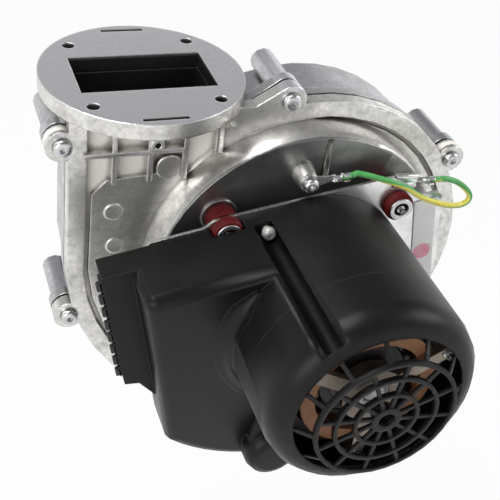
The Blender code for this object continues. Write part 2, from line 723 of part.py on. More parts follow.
def make_impeller():
    """The moulded wheel: its back disc, hub sleeve and vanes."""
    bore = HUB_RADIUS + CLEARANCE
    sleeve = bore + 2 * VANE_THICKNESS
    hub_end = SHROUD_Y + HUB_LENGTH
    profile = [(bore, DISC_Y), (IMPELLER_RADIUS, DISC_Y), (IMPELLER_RADIUS, SHROUD_Y),
               (sleeve * 1.6, SHROUD_Y), (sleeve, SHROUD_Y + HUB_LENGTH / 3), (sleeve, hub_end),
               (bore, hub_end)]
    wheel = lathe("impeller", profile, SHAFT, 32)
    for i in range(VANE_COUNT):
        join(wheel, make_vane(i))
    return finish(merge_flats(wheel), "impeller", (0.05, 0.05, 0.055), 0.45)


def make_impeller_shroud():
    """The cover ring over the vanes, with a collar round the inlet nozzle."""
    eye, rim, wall = IMPELLER_EYE_RADIUS, IMPELLER_RADIUS, SHROUD_THICKNESS
    eye_y, rim_y = shroud_y(eye) + CLEARANCE, shroud_y(rim) + CLEARANCE
    profile = [(eye, eye_y), (rim, rim_y), (rim, rim_y + wall), (eye + 2 * wall, eye_y + wall),
               (eye + wall, eye_y + SHROUD_COLLAR), (eye, eye_y + SHROUD_COLLAR)]
    ring = lathe("impeller_shroud", profile, SHAFT, 32)
    return finish(ring, "impeller_shroud", (0.05, 0.05, 0.055), 0.45)


def make_shaft_pieces():
    """The motor shaft, the impeller's brass hub, its nut and the shaft seal."""
    shaft_front = BRACKET_Y + CLEARANCE
    chamfer = SHAFT_RADIUS * 0.15
    profile = [(0, shaft_front), (SHAFT_RADIUS - chamfer, shaft_front),
               (SHAFT_RADIUS, shaft_front + chamfer), (SHAFT_RADIUS, SHAFT_END_Y - chamfer),
               (SHAFT_RADIUS - chamfer, SHAFT_END_Y), (0, SHAFT_END_Y)]
    finish(lathe("motor_shaft", profile, SHAFT, 20), "motor_shaft", *STEEL)
    bore = SHAFT_RADIUS + CLEARANCE
    hub_end = SHROUD_Y + HUB_LENGTH
    collar = SHAFT_BOSS_Y
    profile = [(bore, DISC_Y - 2 * SINK), (HUB_RADIUS + VANE_THICKNESS, DISC_Y - 2 * SINK),
               (HUB_RADIUS + VANE_THICKNESS, DISC_Y - CLEARANCE), (HUB_RADIUS, DISC_Y - CLEARANCE),
               (HUB_RADIUS, hub_end), (bore, hub_end)]
    finish(lathe("impeller_hub", profile, SHAFT, 20), "impeller_hub", *BRASS)
    nut_y = hub_end + CLEARANCE
    nut = prism("impeller_nut", [circle(*SHAFT, NUT_RADIUS, 6), circle(*SHAFT, bore, 20)],
                nut_y, nut_y + NUT_LENGTH - 2 * CLEARANCE)
    finish(nut, "impeller_nut", *ZINC)
    lip = SHAFT_RADIUS + CLEARANCE
    profile = [(lip, collar + CLEARANCE), (SEAL_RADIUS, collar + CLEARANCE),
               (SEAL_RADIUS, collar + SEAL_LENGTH), (SEAL_RADIUS * 0.7, collar + SEAL_LENGTH),
               (SEAL_RADIUS * 0.7, collar + SEAL_LENGTH / 2), (lip, collar + SEAL_LENGTH / 2)]
    finish(lathe("shaft_seal", profile, SHAFT, 20), "shaft_seal", (0.35, 0.32, 0.27), 0.8)


# ---------------------------------------------------------------- motor plate and bushes

def tab_point(along, across):
    """A point of the earth tab, measured from its upper root along it and down across it."""
    a = math.radians(TAB_ANGLE)
    u = TAB_START + along * math.cos(a) + across * math.sin(a)
    v = PLATE_TOP - PLATE_TOP_FALL + along * math.sin(a) - across * math.cos(a)
    return (u, v)


def plate_outline():
    """The steel plate behind the motor and the electronics, in the motor's tilted frame."""
    left = -BOX_REACH + HOOD_WALL / 4
    step_v = PLATE_TOP - PLATE_TOP_STEP
    notch_u = BUSH_CIRCLE * math.cos(math.radians(BUSH_ANGLES[0] - MOTOR_TILT))
    points = [(left, BOX_TOP - HOOD_WALL), (PLATE_LEFT_END, BOX_TOP - HOOD_WALL), (PLATE_LEFT_END, step_v),
              (notch_u - 2 * BUSH_NECK_RADIUS, step_v), (notch_u - BUSH_NECK_RADIUS, PLATE_TOP - CLEARANCE),
              (notch_u - BUSH_NECK_RADIUS / 2, PLATE_TOP), (notch_u + BUSH_NECK_RADIUS / 2, PLATE_TOP)]
    low = TAB_WIDTH + TAB_GAP
    points += [tab_point(0, 0), tab_point(TAB_LENGTH, 0), tab_point(TAB_LENGTH, TAB_WIDTH),
               tab_point(0, TAB_WIDTH), tab_point(0, low), tab_point(TAB_LENGTH * 0.7, low)]
    points += [(tab_point(TAB_LENGTH, 0)[0], PLATE_RIGHT_TOP), (PLATE_RIGHT - PLATE_CORNER, PLATE_RIGHT_TOP),
               (PLATE_RIGHT, PLATE_RIGHT_TOP - PLATE_CORNER)]
    points += arc(0, 0, PLATE_RIGHT, -8, -70, 8)
    points += arc(0, 0, BOX_ARC_RADIUS - HOOD_WALL, -86, box_arc_end() + 2, 10)
    points += [(-BLOCK_REACH, -BOX_LOW), (left, -SHELF_LOW)]
    return [tilted(u, v) for u, v in points]


def box_arc_end():
    """The angle, in the tilted frame, at which the box's round bottom meets its left wall."""
    return -180 + math.degrees(math.acos(BLOCK_REACH / BOX_ARC_RADIUS))


def make_motor_plate():
    """The plate with its holes for the bushes, the motor's spigot and the screws."""
    half_hole = BUSH_NECK_RADIUS + CLEARANCE
    loops = [plate_outline(), circle(*SHAFT, SPIGOT_RADIUS + CLEARANCE, 32)]
    for angle in BUSH_ANGLES:
        loops.append(circle(*at_shaft(BUSH_CIRCLE, angle), half_hole, 20))
    for angle in HOOD_SCREW_ANGLES:
        loops.append(circle(*at_shaft(HOOD_SCREW_CIRCLE, angle), SCREW_HOLE_RADIUS, 12))
    for angle in BOLT_ANGLES:
        loops.append(circle(*at_shaft(BOLT_CIRCLE, angle), SCREW_HOLE_RADIUS, 12))
    plate = prism("motor_plate", loops, PLATE_BACK_Y, PLATE_Y)
    return finish(plate, "motor_plate", *ZINC)


def make_bushes():
    """The three rubber bushes, each with its steel sleeve and its screw."""
    seat = BUSH_SEAT_Y - CLEARANCE
    back, front = PLATE_BACK_Y + CLEARANCE, PLATE_Y - CLEARANCE
    face = front - BUSH_FRONT_LENGTH
    hole = SLEEVE_RADIUS + CLEARANCE
    chamfer = BUSH_RADIUS * 0.12
    for i, angle in enumerate(BUSH_ANGLES):
        place = at_shaft(BUSH_CIRCLE, angle)
        profile = [(hole, seat), (BUSH_RADIUS, seat), (BUSH_RADIUS, back), (BUSH_NECK_RADIUS, back),
                   (BUSH_NECK_RADIUS, front), (BUSH_RADIUS, front), (BUSH_RADIUS, face + chamfer),
                   (BUSH_RADIUS - chamfer, face), (hole, face)]
        finish(lathe("bush", profile, place, 16), f"rubber_bush_{i + 1}", *RED_RUBBER)
        rim = face - CLEARANCE
        bore = SLEEVE_RADIUS - SLEEVE_WALL
        floor = seat - SLEEVE_FLOOR
        profile = [(SCREW_HOLE_RADIUS, seat), (SLEEVE_RADIUS, seat), (SLEEVE_RADIUS, rim),
                   (SLEEVE_RIM_RADIUS, rim), (SLEEVE_RIM_RADIUS, rim - SLEEVE_RIM_THICKNESS),
                   (bore, rim - SLEEVE_RIM_THICKNESS), (bore, floor), (SCREW_HOLE_RADIUS, floor)]
        finish(lathe("sleeve", profile, place, 14), f"bush_sleeve_{i + 1}", *ZINC)
        head = floor - CLEARANCE
        length = BUSH_SCREW_LENGTH - 2 * CLEARANCE
        finish(screw(place, head, length, BUSH_SCREW_HEAD), f"bush_screw_{i + 1}", *ZINC)


make_impeller()
make_impeller_shroud()
make_shaft_pieces()
make_motor_plate()
make_bushes()


# ---------------------------------------------------------------- motor

def make_bearing(name, back):
    """A ball bearing as its two rings, with its back face at the plane y = back."""
    front = back - BEARING_LENGTH
    middle = SHAFT_RADIUS + CLEARANCE + BEARING_RING
    bore = SHAFT_RADIUS + CLEARANCE
    inner = [(bore, back), (middle, back), (middle, front), (bore, front)]
    outer = [(middle + CLEARANCE, back), (BEARING_RADIUS, back), (BEARING_RADIUS, front),
             (middle + CLEARANCE, front)]
    finish(lathe("ring", inner, SHAFT, 20), f"{name}_inner_ring", *STEEL)
    finish(lathe("ring", outer, SHAFT, 28), f"{name}_outer_ring", *STEEL)


def pillar(angle, width, inner, outer, start, end):
    """A straight-sided post between two radii, centred on an angle about the shaft."""
    a = math.radians(angle)
    along, across = (math.cos(a), math.sin(a)), (-math.sin(a), math.cos(a))
    corners = []
    for radius, side in ((inner, -width), (outer, -width), (outer, width), (inner, width)):
        corners.append((SHAFT_X + along[0] * radius + across[0] * side / 2,
                        SHAFT_Z + along[1] * radius + across[1] * side / 2))
    return prism("pillar", [corners], start, end)


def make_motor_flange():
    """The cast motor flange: disc, spigot, front bearing housing and three stator pillars."""
    back = MOTOR_FLANGE_Y
    face = back - MOTOR_FLANGE_THICKNESS
    bearing_front = FRONT_BEARING_Y - BEARING_LENGTH
    housing = BEARING_RADIUS + CLEARANCE
    shoulder = FRONT_BEARING_Y + CLEARANCE + BEARING_SPRING
    hole = BEARING_RADIUS - BEARING_RING
    profile = [(hole, PLATE_BACK_Y), (SPIGOT_RADIUS, PLATE_BACK_Y), (SPIGOT_RADIUS, back),
               (MOTOR_FLANGE_RADIUS, back), (MOTOR_FLANGE_RADIUS, face),
               (BEARING_HOUSING_RADIUS, face), (BEARING_HOUSING_RADIUS, bearing_front),
               (housing, bearing_front), (housing, shoulder), (hole, shoulder)]
    flange = lathe("motor_flange", profile, SHAFT, 28)
    seat = STATOR_BACK_Y + CLEARANCE
    for angle in BOLT_ANGLES:
        join(flange, pillar(angle, PILLAR_WIDTH, BOLT_CIRCLE - PILLAR_WIDTH / 2,
                            MOTOR_FLANGE_RADIUS - SINK, face + SINK, seat))
        cut(flange, rod(at_shaft(BOLT_CIRCLE, angle), SCREW_HOLE_RADIUS, back + OVERCUT,
                        seat - OVERCUT, 10))
    return finish(merge_flats(flange), "motor_flange", *CAST)


def stator_loops():
    """One lamination: the yoke with its teeth and pole shoes, and the bolt holes."""
    inner = STATOR_RADIUS - STATOR_YOKE
    tip = STATOR_BORE + SHOE_THICKNESS
    points = []
    step = 360 / TOOTH_COUNT
    for i in range(TOOTH_COUNT):
        middle = i * step
        root = math.degrees(math.asin(TOOTH_WIDTH / 2 / inner))
        neck = math.degrees(math.asin(TOOTH_WIDTH / 2 / tip))
        shoe = math.degrees(math.asin(SHOE_WIDTH / 2 / STATOR_BORE))
        points += arc(*SHAFT, inner, middle - step + root, middle - root, 6)
        points += [at_shaft(tip, middle - neck), at_shaft(tip, middle - shoe * 0.92)]
        points += arc(*SHAFT, STATOR_BORE, middle - shoe, middle + shoe, 4)
        points += [at_shaft(tip, middle + shoe * 0.92), at_shaft(tip, middle + neck)]
    loops = [circle(*SHAFT, STATOR_RADIUS, 36), points]
    for angle in BOLT_ANGLES:
        loops.append(circle(*at_shaft(BOLT_CIRCLE, angle), SCREW_HOLE_RADIUS, 10))
    return loops


def make_coil(index):
    """One winding round its tooth: a flat ring with rounded ends."""
    step = 360 / TOOTH_COUNT
    inner, outer = STATOR_BORE + SHOE_THICKNESS + CLEARANCE, STATOR_RADIUS - STATOR_YOKE - COIL_MARGIN
    middle_y = (STATOR_BACK_Y + STATOR_FRONT_Y) / 2
    hollow_x, hollow_y = TOOTH_WIDTH / 2 + CLEARANCE, STATOR_LENGTH / 2 + CLEARANCE
    reach_x, reach_y = hollow_x + COIL_THICKNESS * 0.8, hollow_y + COIL_THICKNESS
    cut_off = COIL_THICKNESS * 0.6

    def ring(half_x, half_y, corner):
        points = []
        for sx, sy in ((1, 1), (-1, 1), (-1, -1), (1, -1)):
            pair = [(sx * half_x, sy * (half_y - corner)), (sx * (half_x - corner), sy * half_y)]
            points += pair if sx * sy > 0 else pair[::-1]
        return points

    loops = [ring(reach_x, reach_y, cut_off), ring(hollow_x, hollow_y, cut_off / 6)]
    coil = prism("coil", loops, inner, outer, lambda p, r: Vector((r, p[1], p[0])))
    turn = Matrix.Rotation(math.radians(-step * index), 4, "Y")
    coil.data.transform(Matrix.Translation((SHAFT_X, middle_y, SHAFT_Z)) @ turn)
    return finish(coil, f"stator_coil_{index + 1}", *COPPER)


def make_rotor():
    """The rotor core on the shaft with its magnet ring."""
    outer = STATOR_BORE - ROTOR_AIR_GAP
    inner = outer - MAGNET_THICKNESS
    bore = SHAFT_RADIUS + CLEARANCE
    core = [(bore, STATOR_BACK_Y), (inner - CLEARANCE, STATOR_BACK_Y),
            (inner - CLEARANCE, STATOR_FRONT_Y), (bore, STATOR_FRONT_Y)]
    finish(lathe("core", core, SHAFT, 28), "rotor_core", *STEEL)
    ring = [(inner, STATOR_BACK_Y), (outer, STATOR_BACK_Y), (outer, STATOR_FRONT_Y),
            (inner, STATOR_FRONT_Y)]
    finish(lathe("magnet", ring, SHAFT, 32), "rotor_magnet", (0.08, 0.08, 0.09), 0.5, 0.3)


def make_end_bracket():
    """The three-armed bracket that carries the outer bearing, seated on the stator."""
    seat = STATOR_FRONT_Y - CLEARANCE
    face = BRACKET_Y
    housing = BEARING_RADIUS + CLEARANCE
    back = face + BEARING_LENGTH + 2 * CLEARANCE
    hole = BEARING_RADIUS - BEARING_RING
    profile = [(hole, face - CLEARANCE), (BEARING_HOUSING_RADIUS, face - CLEARANCE),
               (BEARING_HOUSING_RADIUS, back), (housing, back), (housing, face + CLEARANCE * 2),
               (hole, face + CLEARANCE * 2)]
    bracket = lathe("end_bracket", profile, SHAFT, 28)
    arm_back = face + BRACKET_THICKNESS
    for angle in BOLT_ANGLES:
        join(bracket, pillar(angle, PILLAR_WIDTH, BEARING_HOUSING_RADIUS - SINK * 2,
                             STATOR_RADIUS - SINK, face, arm_back))
        join(bracket, pillar(angle, PILLAR_WIDTH, BOLT_CIRCLE - PILLAR_WIDTH / 2,
                             STATOR_RADIUS - SINK, arm_back - SINK, seat))
        cut(bracket, rod(at_shaft(BOLT_CIRCLE, angle), SCREW_HOLE_RADIUS, seat + OVERCUT,
                         face - OVERCUT, 10))
    return finish(merge_flats(bracket), "end_bracket", *CAST)


def make_motor_bolts():
    """The long bolts through end bracket, stator and motor flange into the plate."""
    seat = BRACKET_Y - CLEARANCE
    for i, angle in enumerate(BOLT_ANGLES):
        place = at_shaft(BOLT_CIRCLE, angle)
        length = PLATE_BACK_Y - seat
        finish(screw(place, seat, length, SCREW_HEAD_RADIUS * 0.8), f"motor_bolt_{i + 1}", *ZINC)


def make_small_motor_pieces():
    """The preload spring behind the front bearing and the terminal ring over the coils."""
    back = FRONT_BEARING_Y + CLEARANCE + BEARING_SPRING - CLEARANCE
    front = FRONT_BEARING_Y + CLEARANCE
    inner, outer = BEARING_RADIUS - BEARING_RING + CLEARANCE, BEARING_RADIUS
    profile = [(inner, back), (outer, back), (outer, front), (inner, front)]
    finish(lathe("spring", profile, SHAFT, 24), "preload_spring", *STEEL)
    coil_end = STATOR_FRONT_Y - COIL_THICKNESS - 2 * CLEARANCE
    front = coil_end - TERMINAL_RING_THICKNESS
    loops = [circle(*SHAFT, STATOR_RADIUS - STATOR_YOKE - COIL_MARGIN, 36),
             circle(*SHAFT, STATOR_RADIUS - STATOR_YOKE * 2 - COIL_MARGIN, 36)]
    ring = prism("terminal_ring", loops, coil_end, front)
    finish(ring, "terminal_ring", (0.75, 0.73, 0.68), 0.5)


make_bearing("front_bearing", FRONT_BEARING_Y)
make_bearing("rear_bearing", BRACKET_Y + BEARING_LENGTH + 2 * CLEARANCE)
make_motor_flange()
finish(prism("stator_core", stator_loops(), STATOR_BACK_Y, STATOR_FRONT_Y), "stator_core", *STEEL)
for tooth in range(TOOTH_COUNT):
    make_coil(tooth)
make_rotor()
make_end_bracket()
make_motor_bolts()
make_small_motor_pieces()


# ---------------------------------------------------------------- hood

def tilted_angle(angle):
    """An angle of the tilted frame as an angle about the shaft."""
    return angle + MOTOR_TILT


def polar(radius, angle):
    """A point of the tilted frame from its radius and angle."""
    a = math.radians(angle)
    return (radius * math.cos(a), radius * math.sin(a))


def grille_y(radius):
    """The grille's outer face: flat out to its last ring, then sloping back to the opening."""
    edge = GRILLE_RING_RADII[-1] + GRILLE_BAR / 2
    return HOOD_END_Y + GRILLE_RISE * max(radius - edge, 0.0) / (GRILLE_RADIUS - edge)


def cap_solid(inset):
    """The motor cap as a full solid, shrunk by an inset."""
    edge = HOOD_RADIUS - inset
    shoulder = HOOD_RADIUS - HOOD_END_ROUND - inset
    back = HOOD_BASE_Y if inset == 0 else HOOD_BASE_Y + OVERCUT
    end = HOOD_END_Y + GRILLE_RISE + inset
    profile = [(0, back), (edge, back)]
    for i in range(4):
        a = math.radians(30 * i)
        profile.append((shoulder + (edge - shoulder) * math.cos(a),
                        end + HOOD_END_DEPTH * (1 - math.sin(a))))
    profile.append((0, end))
    return lathe("cap", profile, SHAFT, 40)


def box_section(inset):
    """One outline of the electronics box, shrunk by an inset."""
    reach, top = BLOCK_REACH - inset, BOX_TOP - inset
    start = -180 + math.degrees(math.acos(reach / (BOX_ARC_RADIUS - inset)))
    corner = HOOD_WALL * 2
    outline = [(0, top), (-reach + corner, top), (-reach + corner * 0.3, top - corner * 0.3),
               (-reach, top - corner)]
    outline += [polar(BOX_ARC_RADIUS - inset, start + (LOBE_ANGLE - start) * i / 7) for i in range(8)]
    outline.append((0, -HOOD_RADIUS / 2))
    return outline


def loft(name, sections):
    """A solid skinned over outlines that have the same number of points."""
    bm = bmesh.new()
    rows = [[bm.verts.new(point) for point in section] for section in sections]
    for near, far in zip(rows, rows[1:]):
        for k in range(len(near)):
            bm.faces.new((near[k - 1], near[k], far[k], far[k - 1]))
    bmesh.ops.triangulate(bm, faces=[bm.faces.new(rows[0]), bm.faces.new(rows[-1])])
    return new_object(name, bm)


def box_solid(inset):
    """The electronics box as a full solid with rounded front edges and a front that slopes
    back towards its round bottom."""
    back = HOOD_BASE_Y if inset == 0 else HOOD_BASE_Y + OVERCUT
    front = HOOD_BASE_Y - BLOCK_DEPTH + inset
    rounding = BLOCK_ROUND - inset / 2
    sections = [[(*tilted(u, v), back) for u, v in box_section(inset)]]
    for grow, rise in ((0.0, 1.0), (0.3, 0.3), (1.0, 0.0)):
        section = []
        for u, v in box_section(inset + grow * rounding):
            section.append((*tilted(u, v), front + rise * rounding + BOX_SLOPE * (BOX_TOP - v)))
        sections.append(section)
    return loft("box", [[(x, y, z) for x, z, y in section] for section in sections])


def shelf_solid(inset):
    """The low connector shelf left of the electronics box, as a full solid."""
    reach, top = BOX_REACH - inset, BOX_TOP - inset
    inside = -BLOCK_REACH + 4 * HOOD_WALL
    drop = BOX_REACH - BLOCK_REACH
    outline = [(inside, top), (-reach, top), (-reach, -SHELF_LOW + inset)]
    outline += [(-reach + drop / 2, -SHELF_LOW + inset - HOOD_WALL), (inside, -SHELF_LOW - 2 * drop + inset)]
    back = HOOD_BASE_Y if inset == 0 else HOOD_BASE_Y + OVERCUT
    front = HOOD_BASE_Y - SHELF_DEPTH + inset
    return prism("shelf", [[tilted(u, v) for u, v in outline]], back, front)


def lobe_solid(inset):
    """The round lobe at the foot of the box, with its neck towards the cap."""
    angle = tilted_angle(LOBE_ANGLE)
    place = at_shaft(BOX_ARC_RADIUS - LOBE_RADIUS, angle)
    radius = LOBE_RADIUS - inset
    back = HOOD_BASE_Y if inset == 0 else HOOD_BASE_Y + OVERCUT
    front = HOOD_BASE_Y - LOBE_DEPTH + inset
    profile = [(0, back), (radius, back), (radius, front + LOBE_ROUND),
               (radius - LOBE_ROUND * 0.3, front + LOBE_ROUND * 0.3), (radius - LOBE_ROUND, front),
               (0, front)]
    lobe = lathe("lobe", profile, place, 24)
    width = (LOBE_RADIUS - inset) * 1.8
    neck = pillar(angle, width, HOOD_RADIUS * 0.7, BOX_ARC_RADIUS - LOBE_RADIUS, back,
                  front + LOBE_ROUND)
    return join(lobe, neck)


def grille_ring(inner, outer, count):
    """One ring of the grille, proud of the bars by the joint overlap."""
    front = grille_y(outer)
    back = front + GRILLE_THICKNESS
    return prism("ring", [circle(*SHAFT, outer, count), circle(*SHAFT, inner, count)], front, back)


def grille_bar(angle, inner, outer):
    """A straight bar between two radii that follows the grille's face."""
    profile = [(inner, grille_y(inner) + SINK), (outer, grille_y(outer) + SINK),
               (outer, grille_y(outer) + GRILLE_THICKNESS - SINK),
               (inner, grille_y(inner) + GRILLE_THICKNESS - SINK)]
    turn = Matrix.Rotation(math.radians(-angle), 4, "Y")
    bar = prism("bar", [profile], -GRILLE_BAR / 2, GRILLE_BAR / 2, lambda p, r: Vector((p[0], p[1], r)))
    bar.data.transform(Matrix.Translation((SHAFT_X, 0, SHAFT_Z)) @ turn)
    return bar


def make_grille():
    """The grille: a hub, rings, inner spokes and sloping outer bars set half a pitch round."""
    half = GRILLE_BAR / 2
    grille = grille_ring(GRILLE_HUB_HOLE, GRILLE_HUB_RADIUS, 24)
    pitch = 360 / GRILLE_SPOKES
    stations = [GRILLE_HUB_RADIUS, *GRILLE_RING_RADII, GRILLE_RADIUS + HOOD_WALL / 2]
    for i, (near, far) in enumerate(zip(stations, stations[1:])):
        offset = pitch / 2 if far == stations[-1] else 0
        for k in range(GRILLE_SPOKES):
            join(grille, grille_bar(k * pitch + offset + GRILLE_TURN, near - half / 2, far + half / 2))
        if far != stations[-1]:
            join(grille, grille_ring(far - half, far + half, 24 + 4 * i))
    return grille


def hood_solid(inset):
    """Cap, box, shelf and lobe as one full solid."""
    return join(cap_solid(inset), box_solid(inset), shelf_solid(inset), lobe_solid(inset))


def make_hood():
    """The one-piece hood: cap, box, shelf and lobe as a shell, with grooves and grille."""
    hood = cut(hood_solid(0), hood_solid(HOOD_WALL))
    groove_end = HOOD_END_Y + GRILLE_RISE + HOOD_WALL
    seat = HOOD_BASE_Y - HOOD_SCREW_SEAT
    for angle in HOOD_SCREW_ANGLES:
        place = at_shaft(HOOD_SCREW_CIRCLE, angle)
        outer = GROOVE_RADIUS + GROOVE_WALL
        beyond = HOOD_RADIUS + 2 * HOOD_WALL
        wall = rod(place, outer, HOOD_BASE_Y, groove_end - GROOVE_WALL, 16)
        join(wall, pillar(angle, 2 * outer, HOOD_SCREW_CIRCLE, beyond, HOOD_BASE_Y, groove_end - GROOVE_WALL))
        join(hood, boolean(wall, [hood_solid(0)], "INTERSECT"))
        channel = rod(place, GROOVE_RADIUS, seat, groove_end, 16)
        join(channel, pillar(angle, 2 * GROOVE_RADIUS, HOOD_SCREW_CIRCLE, beyond, seat, groove_end))
        cut(hood, channel)
        cut(hood, rod(place, SCREW_HOLE_RADIUS, HOOD_BASE_Y + OVERCUT, seat - OVERCUT, 10))
    relief = BUSH_RADIUS + 3 * CLEARANCE
    relief_end = PLATE_Y - BUSH_FRONT_LENGTH - SLEEVE_RIM_THICKNESS - 4 * CLEARANCE
    bush = at_shaft(BUSH_CIRCLE, BUSH_ANGLES[0])
    wall = rod(bush, relief + HOOD_WALL, HOOD_BASE_Y, relief_end - HOOD_WALL, 20)
    join(hood, boolean(wall, [box_solid(0)], "INTERSECT"))
    for angle in BUSH_ANGLES:
        cut(hood, rod(at_shaft(BUSH_CIRCLE, angle), relief, HOOD_BASE_Y + OVERCUT, relief_end, 20))
    board_front = BOARD_BACK_Y - BOARD_THICKNESS - CLEARANCE
    for inward, v in HOOD_POSTS:
        u = inward - BOX_REACH
        front = HOOD_BASE_Y - BLOCK_DEPTH + BOX_SLOPE * (BOX_TOP - v) + HOOD_WALL / 2
        join(hood, rod(tilted(u, v), POST_RADIUS, board_front, front, 12))
    window_top = CONNECTOR_TOP + CLEARANCE
    window_low = CONNECTOR_TOP - sum(CONNECTOR_WAYS) * CONTACT_PITCH - 3 * CLEARANCE
    left, right = -BOX_REACH - OVERCUT, -BOX_REACH + HOOD_WALL + OVERCUT
    window = [tilted(left, window_low), tilted(right, window_low), tilted(right, window_top),
              tilted(left, window_top)]
    cut(hood, prism("window", [window], board_front + CLEARANCE,
                    board_front - CONNECTOR_HEIGHT - CLEARANCE))
    cut(hood, rod(SHAFT, GRILLE_RADIUS, HOOD_END_Y - OVERCUT, HOOD_END_Y + GRILLE_RISE * 2, 36))
    join(hood, make_grille())
    return finish(merge_flats(hood), "motor_hood", *BLACK)


def make_hood_screws():
    """The two screws at the ends of the hood's driver grooves."""
    seat = HOOD_BASE_Y - HOOD_SCREW_SEAT - CLEARANCE
    for i, angle in enumerate(HOOD_SCREW_ANGLES):
        place = at_shaft(HOOD_SCREW_CIRCLE, angle)
        item = screw(place, seat, PLATE_BACK_Y - seat, HOOD_SCREW_HEAD)
        finish(item, f"hood_screw_{i + 1}", *ZINC)


# ---------------------------------------------------------------- electronics

def make_board():
    """The circuit board, cut round the motor and following the box's round bottom."""
    margin = HOOD_WALL + BOARD_MARGIN
    top, left = BOX_TOP - margin, -BOX_REACH + margin
    inner = HOOD_RADIUS + margin
    outer = BOX_ARC_RADIUS - margin
    notch = BUSH_RADIUS + HOOD_WALL + BOARD_MARGIN
    bush_low = BUSH_CIRCLE * math.sin(math.radians(BUSH_ANGLES[0] - MOTOR_TILT)) - notch - CLEARANCE
    first = 180 - math.degrees(math.asin(bush_low / inner))
    bush_left = BUSH_CIRCLE * math.cos(math.radians(BUSH_ANGLES[0] - MOTOR_TILT)) - notch
    outline = [(left, top), (left, -SHELF_LOW + margin), (-BLOCK_REACH + margin, -SHELF_LOW - margin)]
    start = -180 + math.degrees(math.acos((BLOCK_REACH - margin) / outer))
    last = LOBE_ANGLE - math.degrees(LOBE_RADIUS / BOX_ARC_RADIUS)
    outline += [polar(outer, start + (last - start) * i / 5) for i in range(6)]
    outline += [polar(inner, last + 360 + (first - last - 360) * i / 8) for i in range(9)]
    outline += [(bush_left, bush_low), (bush_left, top)]
    loops = [[tilted(u, v) for u, v in outline]]
    board = prism("board", loops, BOARD_BACK_Y, BOARD_BACK_Y - BOARD_THICKNESS)
    return finish(board, "circuit_board", (0.02, 0.22, 0.10), 0.4)


def make_board_pieces():
    """The capacitors, the choke and the two connectors on the board's front."""
    seat = BOARD_BACK_Y - BOARD_THICKNESS - CLEARANCE
    for i, place in enumerate(CAPACITOR_PLACES):
        end = seat - CAPACITOR_LENGTH
        radius = CAPACITOR_RADIUS
        groove = radius * 0.08
        profile = [(0, seat), (radius, seat), (radius, end + 3 * groove), (radius - groove, end + 2 * groove),
                   (radius - groove, end), (0, end)]
        item = lathe("capacitor", profile, tilted(*place), 20)
        finish(item, f"capacitor_{i + 1}", (0.03, 0.04, 0.09), 0.4)
    choke = [(CHOKE_HOLE, seat), (CHOKE_RADIUS, seat), (CHOKE_RADIUS, seat - CHOKE_LENGTH),
             (CHOKE_HOLE, seat - CHOKE_LENGTH)]
    finish(lathe("choke", choke, tilted(*CHOKE_PLACE), 20), "choke", *COPPER)
    names = ("mains_connector", "signal_connector")
    high = CONNECTOR_TOP
    left = -BOX_REACH
    for name, ways in zip(names, CONNECTOR_WAYS):
        low = high - ways * CONTACT_PITCH
        right = left + CONNECTOR_LENGTH
        corners = [tilted(right, low), tilted(right, high)]
        for i in range(ways):
            tooth_top = high - i * CONTACT_PITCH
            tooth_low = tooth_top - CONTACT_PITCH + TOOTH_GAP
            corners += [tilted(left - TOOTH_REACH, tooth_top), tilted(left - TOOTH_REACH, tooth_low),
                        tilted(left, tooth_low)]
            corners.append(tilted(left, tooth_low - TOOTH_GAP))
        housing = prism(name, [corners], seat, seat - CONNECTOR_HEIGHT)
        middle = seat - CONNECTOR_HEIGHT / 2
        for i in range(ways):
            v = high - (i + 0.5) * CONTACT_PITCH + TOOTH_GAP / 2
            near, far = left - TOOTH_REACH - OVERCUT, left + CONTACT_DEPTH
            half = CONTACT_WIDTH / 2
            chamber = [tilted(near, v - half), tilted(far, v - half), tilted(far, v + half),
                       tilted(near, v + half)]
            cut(housing, prism("chamber", [chamber], middle + CONTACT_HEIGHT / 2,
                               middle - CONTACT_HEIGHT / 2))
        finish(housing, name, (0.03, 0.03, 0.03), 0.45)
        high = low - CLEARANCE


# ---------------------------------------------------------------- earth lead and label

def bar_between(name, start, end, radius, count=12):
    """A round bar between two points."""
    start, end = Vector(start), Vector(end)
    run = end - start
    item = rod((0, 0), radius, 0, run.length, count)
    turn = Vector((0, 1, 0)).rotation_difference(run).to_matrix().to_4x4()
    item.data.transform(Matrix.Translation(start) @ turn)
    item.name = name
    return item


def earth_tag_point(reach, y):
    """A point on the ring terminal's centre line."""
    a = math.radians(EARTH_TAG_ANGLE)
    return (EARTH_X + reach * math.cos(a), y, EARTH_Z + reach * math.sin(a))


